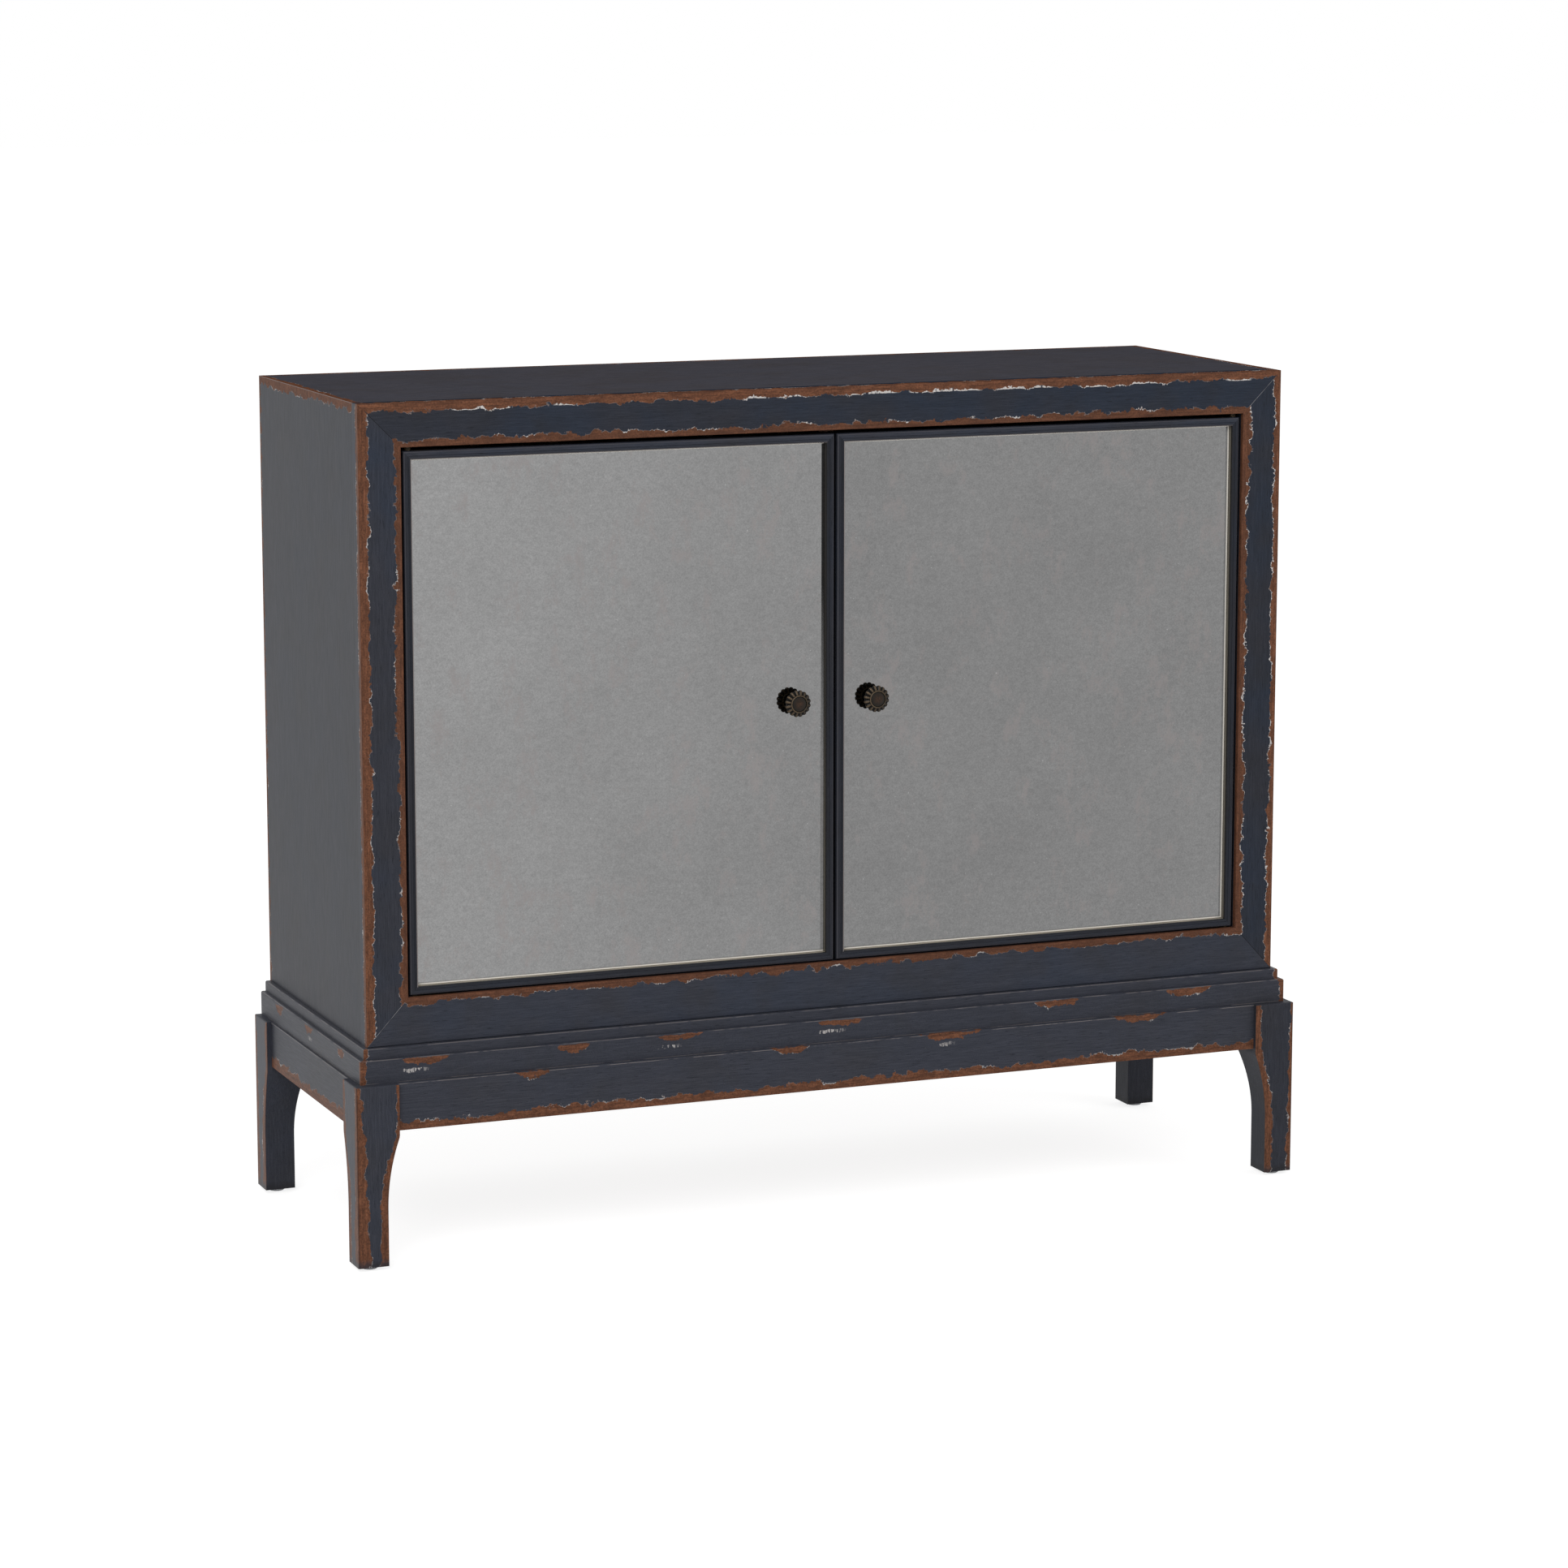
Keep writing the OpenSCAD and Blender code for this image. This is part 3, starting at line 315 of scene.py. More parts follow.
class Paint(Surface):
    """Rubbed navy paint on wood. Wear is gathered in masks and laid over it by finish.

    bare is wood without paint, white is primer, pale a thin light line (along arrises partly a
    painted highlight), dim is darker wood (partly painted shade), lined is where the piece is
    stained as the inside is, and chalk is how white the primer is. shade makes a piece's whole
    paint lighter or darker as painted light and shade.
    """

    def __init__(self, name, grain, settings, shade=1.0, bluish=1.0, gloss=0.12, roughness=0.5,
                 chalk=1.0):
        super().__init__(name)
        self.grain = grain
        self.colours = settings
        self.gloss = gloss
        self.chalk = chalk
        self.bare = self.white = self.pale = self.dim = self.lined = 0.0
        cloud = self.noise(6.5, 3, 0.6, shift=(3.1, 0, 1.7))
        glaze = self.noise(17, 3, 0.6, shift=(0.4, 6, 2))
        fine = self.noise(38, 4, 0.75, along(grain, 20))
        hairs = self.noise(75, 2, 0.5, along(grain, 16), shift=(7, 2, 5))
        speck = self.noise(1000, 2, 0.6)
        grey, blue, tan, dark = (
            self.shaded(colour, shade)
            for colour in (settings.grey, settings.blue, settings.glaze, settings.dark)
        )
        self.colour = grey
        for mask, amount, colour in (
            (self.over(cloud, 0.5, 0.2), bluish, blue),
            (self.over(glaze, 0.57, 0.2), 0.4, tan),
            (self.over(fine, 0.62, 0.4), 0.7, dark),
            (self.under(fine, 0.4, 0.16), 0.3, self.shaded(grey, 1.5)),
            (self.over(hairs, 0.66, 0.05), 0.7, self.shaded(dark, 0.7)),
            (self.over(speck, 0.58, 0.2), 0.4, dark),
        ):
            self.colour = self.mix(self.times(mask, amount), self.colour, colour)
        self.rough = self.blend(fine, roughness - 0.06, roughness + 0.1)
        self.height = self.blend(fine, 0.4, 0.6)
        rubbed = (0.22, 0.22, 1) if grain == "z" else (1, 1, 0.22)
        self.strokes = self.over(self.noise(620, 2, 0.6, rubbed), 0.5, 0.14)
        self.islands = self.over(self.noise(330, 2, 0.6, rubbed, shift=(3, 2, 1)), 0.4, 0.1)

    def swing(self, value, amount):
        """Noise turned into an offset that swings about zero by about the amount."""
        return self.math("MULTIPLY_ADD", value, 5 * amount, -2.5 * amount)

    def window(self, along, centre, half, soft=5.0):
        """1 within half a width of the centre."""
        return self.under(self.apart(along, centre), half, soft)

    def edge(self, distance, width, seed, lobes, teeth, flecks, share=1.0, scuffs=None, dim=0.0,
             fill=-0.6):
        """Bare wood up to about the width from an edge, with primer in the hollows of its rim.

        lobes and teeth are how far the rim swings, coarse and fine, flecks how often primer
        shows, and fill how far into the hollows it reaches; scuffs are places that always have it.
        """
        drift = self.swing(self.noise(13, 1, 0.5, shift=(seed, seed, 0)), 0.6 * lobes)
        slow = self.plus(width, drift)
        lobe = self.swing(self.noise(80, 1, 0.4, shift=(0, seed, seed)), 1.5 * lobes)
        tooth = self.swing(self.noise(300, 2, 0.6, shift=(seed, 0, seed)), 1.7 * teeth)
        reach = self.plus(self.plus(slow, lobe), tooth)
        flat = self.plus(slow, self.math("MULTIPLY_ADD", lobe, 0.35, self.times(tooth, 0.25)))
        gap = self.less(distance, reach)
        sparse = self.noise(26, 2, 0.5, shift=(seed + 2, 1, seed))
        gate = self.over(sparse, 0.66 - 0.12 * flecks, 0.03)
        if scuffs is not None:
            gate = self.largest(gate, scuffs)
        filled = self.under(self.less(distance, flat), fill, 0.4)
        rim = self.under(gap, self.times(self.strokes, 0.9), 0.3)
        beyond = self.over(gap, -0.1, 0.3)
        white = self.times(self.largest(filled, rim), beyond, gate, self.islands)
        broken = self.over(self.noise(50, 1, 0.5, shift=(seed, 5, 1)), 0.5, 0.08)
        thin = self.times(self.under(self.math("ABSOLUTE", gap), 0.3, 0.3), broken)
        worn = self.times(self.under(gap, 0.0, 0.35), share)
        self.bare = self.largest(self.bare, worn)
        self.white = self.largest(self.white, self.times(white, share))
        self.pale = self.largest(self.pale, self.times(thin, share))
        # dim darkens the worn wood, partly as painted shade
        if dim:
            self.dim = self.largest(self.dim, self.times(worn, dim))

    def patch(self, along_edge, below, centre, half, depth, drop, smear, seed, share):
        """A rubbed patch hanging under an edge, with a primer rim or a smear below it."""
        lump = self.swing(self.noise(120, 1, 0.5, shift=(seed, 0, 2)), 0.25)
        lump = self.plus(lump, self.swing(self.noise(420, 2, 0.6, shift=(seed, 1, 0)), 0.11))
        offset = self.math("DIVIDE", self.apart(along_edge, centre), half)
        lens = self.less(1.0, self.math("POWER", offset, 2.6))
        deep = self.math("DIVIDE", self.less(below, drop), depth)
        field = self.plus(self.less(lens, deep), lump)
        top = self.over(self.plus(deep, self.times(lump, 0.5)), 0.0, 0.08)
        worn = self.times(self.over(field, 0.0, 0.05), top, share)
        self.bare = self.largest(self.bare, worn)
        lower = self.less(lens, deep)
        if smear:
            lower = self.plus(self.less(0.8, deep), smear)
        lower = self.plus(lower, self.times(lump, 0.45 if smear else 1.0))
        deeper, sparse = (-0.5, 0.46) if smear else (-0.14, 0.56)
        gate = self.over(self.noise(75, 2, 0.5, shift=(seed, 3, 2)), sparse, 0.05)
        deepest = self.math("MULTIPLY_ADD", self.strokes, deeper, -0.04)
        middle = self.over(lens, 0.35 if smear else 0.1, 0.1)
        white = self.times(self.under(lower, 0.0, 0.05), self.over(lower, deepest, 0.06),
                           gate, middle, self.strokes)
        if smear:
            white = self.times(white, self.under(along_edge, centre, 0.4 * half))
        self.white = self.largest(self.white, self.times(white, share))

    def patches(self, along_edge, below, rows, step, first=0.0, share=1.0):
        """All the patches of a table under one edge, each with its own seed."""
        for index, row in enumerate(rows):
            self.patch(along_edge, below, *row, seed=first + step * index, share=share)

    def line(self, distance, width, colour, share, soft=0.25):
        """A line of colour in the paint, the width to each side of distance 0."""
        mask = self.times(self.under(self.math("ABSOLUTE", distance), width, soft), share)
        self.colour = self.mix(mask, self.colour, colour)

    def hairline(self, distance, width, amount, seed):
        """A pale broken line along an arris, partly worn paint and partly a painted highlight."""
        broken = self.over(self.noise(34, 3, 0.6, shift=(seed, seed, 1)), 0.47, 0.12)
        self.line(distance, width, self.colours.pale, self.times(broken, amount))

    def finish(self, *glosses):
        """Joins paint, wood and primer. Each gloss is a mask and the sheen inside it."""
        grain = self.noise(34, 4, 0.75, along(self.grain, 16), shift=(11, 4, 8))
        blotch = self.noise(90, 3, 0.65, along(self.grain, 2.5), shift=(5, 14, 3))
        grit = self.noise(520, 3, 0.7, shift=(1, 9, 3))
        light, middle = (self.shaded(self.colours.wood, factor) for factor in (1.4, 0.8))
        dark = self.colours.wood_dark
        wood = self.mix(self.over(blotch, 0.5, 0.35), light, middle)
        for mask, amount, tone in (
            (self.over(grain, 0.52, 0.25), 0.7, dark),
            (self.over(grit, 0.55, 0.25), 0.65, self.shaded(dark, 0.7)),
            (self.dim, 0.5, dark),
        ):
            wood = self.mix(self.times(mask, amount), wood, tone)
        colour = self.mix(self.bare, self.colour, wood)
        colour = self.mix(self.times(self.pale, 0.45), colour, self.colours.pale)
        colour = self.mix(self.times(self.white, self.chalk), colour, self.colours.primer)
        if self.lined:
            colour = self.mix(self.lined, colour, self.stained(self.grain)[0])
        roughness = self.blend(self.largest(self.bare, self.white), self.rough, 0.62)
        gloss = self.gloss
        for mask, value in glosses:
            gloss = self.blend(mask, gloss, value)
        self.set(colour=colour, roughness=roughness, specular=gloss)
        self.bump(self.math("MULTIPLY_ADD", self.bare, -0.4, self.height), 0.0003, 0.6)
        return self.material


def give(names, material):
    """Puts one material on all the slots of some CAD nodes."""
    for name in names:
        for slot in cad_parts[name].material_slots:
            slot.material = material


class CabinetOperator(bpy.types.Operator):
    """Shared base of the cabinet's operators."""

    bl_options = {"REGISTER", "UNDO"}

    @property
    def paint(self):
        return bpy.context.scene.cabinet_paint

    @property
    def worn(self):
        return bpy.context.scene.cabinet_wear


# painted light and shade of each bar (the bottom rail and the left stile lighter), blueness of the
# paint, whiteness of the primer, millimetres added to the worn bands along the outer and the inner
# edge, and how often primer shows along the inner one
FACE_LOOKS = {
    "face_top_rail": (0.86, 0.9, 0.9, 1.4, -0.4, 0.6),
    "face_bottom_rail": (1.22, 0.45, 0.65, 0.0, -2.0, 0.6),
    "face_left_stile": (1.06, 0.8, 0.65, 2.4, -1.0, 0.6),
    "face_right_stile": (0.85, 0.8, 0.9, 0.3, -1.0, 1.5),
}
# centre and half width of the places along the top edge where primer always shows
TOP_SCUFFS = (
    (-435, 20), (-401, 13), (-324, 13), (-99, 15), (-54, 18),
    (42, 30), (134, 44), (231, 36), (361, 58), (508, 15),
)


class CABINET_OT_face_frame(CabinetOperator):
    """Paint the mitred face frame and wear its outer and inner edges"""

    bl_idname = "cabinet.face_frame"
    bl_label = "Face Frame"

    def execute(self, context):
        middle, half_height = (OPENING_LOW + OPENING_HIGH) / 2, (OPENING_HIGH - OPENING_LOW) / 2
        for name, looks in FACE_LOOKS.items():
            shade, bluish, chalk, outer_more, inner_more, inner_flecks = looks
            grain = "z" if name.endswith("stile") else "x"
            paint = Paint(name + "_paint", grain, self.paint, shade, bluish, chalk=chalk)
            front = paint.less(paint.y, FACE_Y)
            from_side = paint.less(HALF_WIDTH, paint.math("ABSOLUTE", paint.x))
            from_top = paint.less(CASE_TOP, paint.z)
            on_front, behind = paint.under(front, 1.6, 0.3), paint.over(front, 1.0, 0.3)
            at_side, at_top = paint.under(from_side, 0.1, 0.1), paint.under(from_top, 0.1, 0.1)
            seed = 1.7 * FACE_BARS.index(name)
            outer = MM * self.worn.frame_outer + outer_more
            if grain == "z":
                paint.edge(from_side, outer, seed, lobes=1.5, teeth=0.7, flecks=1.6,
                           share=on_front)
                paint.edge(front, 8.0, seed + 3, lobes=1.2, teeth=0.8, flecks=1.6,
                           share=paint.times(behind, at_side))
            elif name == "face_top_rail":
                scuffs = paint.largest(*(paint.window(paint.x, *scuff) for scuff in TOP_SCUFFS))
                paint.edge(from_top, outer, seed, lobes=1.5, teeth=0.7, flecks=-0.5,
                           share=on_front, scuffs=scuffs, fill=1.0)
                paint.edge(front, 9.0, seed + 3, lobes=3.0, teeth=0.8, flecks=1.5,
                           share=paint.times(behind, at_top))
                # a broken strip of darker wood along the top arris: partly worn wood, partly
                # painted shade that dulls the arris's highlight
                broken = paint.over(paint.noise(40, 2, 0.6, shift=(2, 0, 9)), 0.45, 0.1)
                darkened_strip = paint.times(paint.under(from_top, 0.9, 0.3), broken, on_front)
                paint.dim = paint.largest(paint.dim, darkened_strip)
            to_opening = paint.outside(0, middle, OPENING_HALF, half_height)
            inner = MM * self.worn.frame_inner + inner_more
            # dim darkens the inner band's wood, partly as painted shade beside the opening
            paint.edge(to_opening, inner, seed + 5, lobes=1.9, teeth=0.9, flecks=inner_flecks,
                       share=paint.under(front, 6.0, 0.3), dim=0.6)
            self.mitre_lines(paint, from_side, on_front)
            give([name], paint.finish((at_side, 0.33), (at_top, 0.0)))
        return {"FINISHED"}

    def mitre_lines(self, paint, across, on_front):
        """Dark joint lines at the corners, with a pale scratch along two of them."""
        top_width, low_width = CASE_TOP - OPENING_HIGH, OPENING_LOW - CASE_BOTTOM
        dark, light = srgb(17, 18, 21), srgb(128, 128, 132)
        left = paint.under(paint.x, 0.0, 1.0)
        right = paint.over(paint.x, 0.0, 1.0)
        corners = (
            (CASE_TOP, top_width, -1, left, dark), (CASE_TOP, top_width, -1, right, light),
            (CASE_BOTTOM, low_width, 1, left, light), (CASE_BOTTOM, low_width, 1, right, dark),
        )
        for level, width, sign, half, colour in corners:
            up = paint.times(paint.less(paint.z, level), sign)
            off = paint.less(across, paint.times(up, STILE_WIDTH / width))
            near = paint.times(paint.under(up, width, 1.0), half, on_front)
            if colour is light:
                paint.line(paint.less(off, 0.5), 0.3, dark, near)
                near = paint.times(near, paint.over(paint.noise(60, 2, 0.5), 0.42, 0.2))
            paint.line(off, 0.4 if colour is dark else 0.3, colour, near)


class CABINET_OT_case_panels(CabinetOperator):
    """Paint the top and the sides, with their worn edges"""

    bl_idname = "cabinet.case_panels"
    bl_label = "Case Panels"

    def execute(self, context):
        # painted light: the top's paint is made about twice as light, and warmer, for the light it
        # catches from above
        top = Paint("top_panel_paint", "x", self.paint, shade=(2.15, 1.97, 1.8), bluish=0.1,
                    gloss=0.0)
        from_side = top.less(HALF_WIDTH, top.math("ABSOLUTE", top.x))
        from_back = top.less(BACK_Y, top.y)
        top.edge(from_side, 8.0, seed=2, lobes=1.8, teeth=0.8, flecks=0.9)
        top.edge(from_back, 8.0, seed=4, lobes=3.0, teeth=1.0, flecks=0.6)
        top.lined = top.under(top.z, node_box("top_panel")[0][2] + 0.3, 0.2)
        give(["top_panel"], top.finish())
        inside = -node_box("left_side_panel")[1][0]
        for name in ("left_side_panel", "right_side_panel"):
            # painted shade: the sides' paint is made a little darker
            side = Paint(name + "_paint", "z", self.paint, shade=0.93, bluish=0.3, gloss=0.16,
                         roughness=0.42)
            from_top = side.less(CASE_TOP, side.z)
            from_back = side.less(BACK_Y, side.y)
            side.edge(from_top, MM * self.worn.side_top, seed=6, lobes=2.0, teeth=1.0,
                      flecks=0.9, fill=-1.5)
            side.edge(from_back, 5.0, seed=7, lobes=2.0, teeth=0.8, flecks=0.3)
            # a painted highlight: pale line along the side's top arris
            side.pale = side.largest(side.pale, side.times(side.under(from_top, 0.7, 0.4), 1.5))
            side.lined = side.under(side.math("ABSOLUTE", side.x), inside + 0.3, 0.2)
            give([name], side.finish())
        return {"FINISHED"}


STEP_HEIGHT = 12  # of the base moulding's upper step
# each patch: centre, half width, depth, how far under the edge it starts, and how much primer
# is smeared below it (0 for a rim of primer instead)
BAND_PATCHES = (
    (-500, 30, 7.5, 1.0, 0.75), (-325, 22, 9.5, 2.0, 0.0), (-199, 29, 6.5, 1.5, 0.9),
    (2, 32, 6.5, 1.5, 0.8), (277, 31, 8.0, 1.5, 0.0), (447, 31, 8.0, 1.0, 0.0),
)
SIDE_PATCHES = ((127, 16, 11.0, 2.0, 0.0), (8, 16, 8.0, 2.0, 0.6), (-119, 14, 9.0, 2.0, 0.0))
APRON_PATCHES = (
    (-375, 21, 8.0, 0.0, 0.0), (-62, 24, 7.0, 0.0, 0.0), (138, 38, 7.5, 0.0, 0.75),
    (383, 32, 7.5, 0.0, 0.0),
)


class CABINET_OT_base(CabinetOperator):
    """Paint the base moulding and the aprons, with their rubbed patches"""

    bl_idname = "cabinet.base"
    bl_label = "Base"

    def execute(self, context):
        self.moulding()
        self.aprons()
        return {"FINISHED"}

    def base_paint(self, name, front_shade, side_shade, side_gloss, chalk):
        """Paint of a piece of the base; sides get painted shade and shine more than the front."""
        if "left" in name or "right" in name:
            grain, shade, gloss = "y", side_shade, side_gloss
        else:
            grain, shade, gloss = "x", front_shade, 0.12
        return Paint(name + "_paint", grain, self.paint, shade, bluish=0.12, gloss=gloss,
                     chalk=chalk)

    def moulding(self):
        low, high = node_box("base_moulding_front")
        step_top, band_top = high[2], high[2] - STEP_HEIGHT
        for name in ("base_moulding_front", "base_moulding_left", "base_moulding_right",
                     "base_rear_rail"):
            # painted light: front and side shades lighten the moulding's paint, the front more
            # than the sides
            paint = self.base_paint(name, 1.25, 1.17, side_gloss=0.4, chalk=0.6)
            below = paint.less(band_top, paint.z)
            on_band = paint.over(below, 0.6, 0.3)
            if name == "base_moulding_front":
                corner = paint.less(high[0], paint.math("ABSOLUTE", paint.x))
                paint.edge(corner, 5.0, seed=3, lobes=1.6, teeth=0.7, flecks=0.4, share=on_band)
                paint.edge(paint.less(corner, 5.5), 3.0, seed=8, lobes=2.4, teeth=0.9, flecks=1.0,
                           share=paint.under(below, 0.3, 0.3))
                paint.patches(paint.x, below, BAND_PATCHES, 3.3, share=on_band)
            elif name != "base_rear_rail":
                corner = paint.less(paint.y, low[1])
                paint.edge(corner, 4.0, seed=3, lobes=2.0, teeth=0.7, flecks=0.4, share=on_band)
                paint.patches(paint.y, below, SIDE_PATCHES, 2.7, share=on_band)
            # pale broken lines on the steps' arrises and along the bottom edge: partly painted
            # highlights
            for level in (step_top, band_top):
                paint.hairline(paint.less(paint.z, level - 0.6), 0.4, 0.3, level)
            paint.hairline(paint.less(paint.z, low[2] + 0.6), 0.4, 0.25, 5.0)
            give([name], paint.finish())

    def aprons(self):
        for name in ("front_apron", "rear_apron", "left_apron", "right_apron"):
            # painted light: front and side shades lighten the aprons' paint, the front more than
            # the sides
            paint = self.base_paint(name, 1.33, 1.2, side_gloss=0.36, chalk=0.55)
            low, high = node_box(name)
            from_low = paint.less(paint.z, low[2])
            below = paint.less(high[2], paint.z)
            width = MM * self.worn.apron + (2.0 if paint.grain == "y" else 0.0)
            paint.edge(from_low, width, seed=len(name), lobes=2.3, teeth=1.0, flecks=1.0)
            # pale broken line just under the band: partly a painted highlight
            paint.hairline(paint.less(below, 1.2), 0.3, 0.6, len(name))
            if name == "front_apron":
                paint.patches(paint.x, below, APRON_PATCHES, 2.1, first=1)
            give([name], paint.finish())


FOOT_WIDTH = 35.5
LEG_CURVE_RADIUS = 237.0
LEG_CURVE_START = 65.25  # above the foot's underside
# the worn bands of a leg: width at the top, and the share of the wear setting that the foot
# adds, for the outer and the inner edge of the front face and then of the side face
LEG_BANDS = {
    "left": ((5.0, 1.0), (3.5, 0.65), (6.0, 0.7), (6.5, 0.55)),
    "right": ((3.5, 0.35), (7.5, 0.25), (6.0, 0.7), (6.5, 0.55)),
}


class CABINET_OT_legs(CabinetOperator):
    """Paint the legs and wear both edges of their faces, more so towards the feet"""

    bl_idname = "cabinet.legs"
    bl_label = "Legs"

    def execute(self, context):
        for name in LEGS:
            low, high = node_box(name)
            left, front = low[0] < 0, low[1] < 0
            # painted light: the left legs' paint is a quarter lighter, as the light falls from the
            # left
            paint = Paint(name + "_paint", "z", self.paint, 1.25 if left else 1.0, bluish=0.2,
                          chalk=0.6)
            from_side = paint.less(paint.x, low[0]) if left else paint.less(high[0], paint.x)
            from_front = paint.less(paint.y, low[1]) if front else paint.less(high[1], paint.y)
            across = self.leg_width(paint, low[2], high[0] - low[0])
            on_front = paint.under(from_front, 0.5, 0.3)
            on_side = paint.under(from_side, 0.5, 0.3)
            foot = paint.less(1.0, paint.over(paint.z, 130, 170))
            edges = (
                (from_side, on_front), (paint.less(across, from_side), on_front),
                (from_front, on_side), (paint.less(across, from_front), on_side),
            )
            bands = LEG_BANDS["left" if left else "right"]
            for seed, ((distance, face), (at_top, more)) in enumerate(zip(edges, bands), 1):
                width = paint.math("MULTIPLY_ADD", foot, MM * self.worn.leg * more, at_top)
                paint.edge(distance, width, seed + low[0] / 100, lobes=1.5, teeth=0.7, flecks=0.6,
                           share=face)
            # darker towards the foot, with less of the wood showing
            ragged = paint.plus(paint.z, paint.swing(paint.noise(90, 2, 0.6), 2.0))
            darkened_strip = paint.under(ragged, 11, 7.0)
            paint.bare = paint.times(paint.bare, paint.less(1.0, paint.times(darkened_strip, 0.8)))
            paint.colour = paint.mix(paint.times(darkened_strip, 0.6), paint.colour, srgb(33, 32, 33))
            arris = paint.under(paint.apart(from_side, 1.0), 0.6, 0.5)
            paint.dim = paint.times(arris, on_front, 1.5)
            give([name], paint.finish((on_side, 0.5)))
        glide = Surface("glide_nylon")
        cloud = glide.noise(300, 3, 0.6)
        glide.set(colour=glide.mix(cloud, srgb(186, 188, 192), srgb(208, 210, 214)), roughness=0.5)
        glide.bump(cloud, 0.0002)
        give(["leg_glides"], glide.material)
        return {"FINISHED"}

    def leg_width(self, paint, floor, top_width):
        """Width of a leg's face at each height: straight foot, hollow curve, square top."""
        up = paint.math("MAXIMUM", paint.less(paint.z, floor + LEG_CURVE_START), 0.0)
        root = paint.less(LEG_CURVE_RADIUS ** 2, paint.math("POWER", up, 2.0))
        curve = paint.less(FOOT_WIDTH + LEG_CURVE_RADIUS, paint.math("SQRT", root))
        return paint.smallest(curve, top_width)


DOOR_MOULDING = 9.5  # width of the moulding round a mirror
# painted light and shade of each bar, then for the left and the right door the tone of its inner
# flank, a painted light (pale where the flank faces the light), and the strength of the painted
# highlight along its outer arris
DOOR_BARS = {
    "top_rail": (1.06, (60, 60), (0.3, 0.3)),
    "bottom_rail": (0.78, (160, 160), (0.0, 0.0)),
    "hinge_stile": (0.66, (60, 100), (0.9, 0.0)),
    "meeting_stile": (0.62, (92, 60), (0.0, 0.9)),
}


class CABINET_OT_doors(CabinetOperator):
    """Paint the door boards and their mouldings"""

    bl_idname = "cabinet.doors"
    bl_label = "Doors"

    def execute(self, context):
        for index, side in enumerate(("left", "right")):
            low, high = node_box(side + "_mirror")
            play = abs(node_box(side + "_door_board")[0][2] - low[2]) - DOOR_MOULDING
            middle = [(low[axis] + high[axis]) / 2 for axis in (0, 2)]
            half = [(high[axis] - low[axis]) / 2 + play for axis in (0, 2)]
            for part, (shade, flanks, arrises) in DOOR_BARS.items():
                flank, arris = flanks[index], arrises[index]
                grain = "x" if part.endswith("rail") else "z"
                paint = Paint(f"{side}_door_{part}_paint", grain, self.paint, shade, bluish=0.5,
                              gloss=0.15, roughness=0.4)
                out = paint.outside(*middle, *half)
                # a dark line near the glass and a light line near the outer edge of the moulding:
                # painted shade and a painted highlight
                paint.line(paint.less(out, 1.3), 0.5, srgb(22, 23, 27), 0.7)
                paint.line(paint.less(out, DOOR_MOULDING - 1.4), 0.5, srgb(74, 73, 79), 0.6)
                # the flank beside the glass: its deeper part takes the flank tone (painted light),
                # its front part a dark painted shade; on the left door's meeting stile the pale
                # part fades away towards the top
                inside = paint.over(paint.y, low[1] - 4.6, 0.8)
                if part == "meeting_stile" and side == "left":
                    lower_flank_lit = paint.blend(paint.over(paint.z, 560, 300), 1.0, 0.15)
                    inside = paint.times(inside, lower_flank_lit)
                paint.line(out, 0.2, srgb(24, 23, 24), 1.0, 0.1)
                paint.line(out, 0.2, srgb(flank, 0.95 * flank, 0.86 * flank), inside, 0.1)
                # a painted highlight: pale line along the arris beside the glass
                if arris:
                    paint.line(paint.less(out, 0.5), 0.35, self.paint.pale, arris)
                give([f"{side}_door_{part}"], paint.finish())
            board = Paint(side + "_door_board_paint", "z", self.paint)
            give([side + "_door_board"], board.finish())
        return {"FINISHED"}


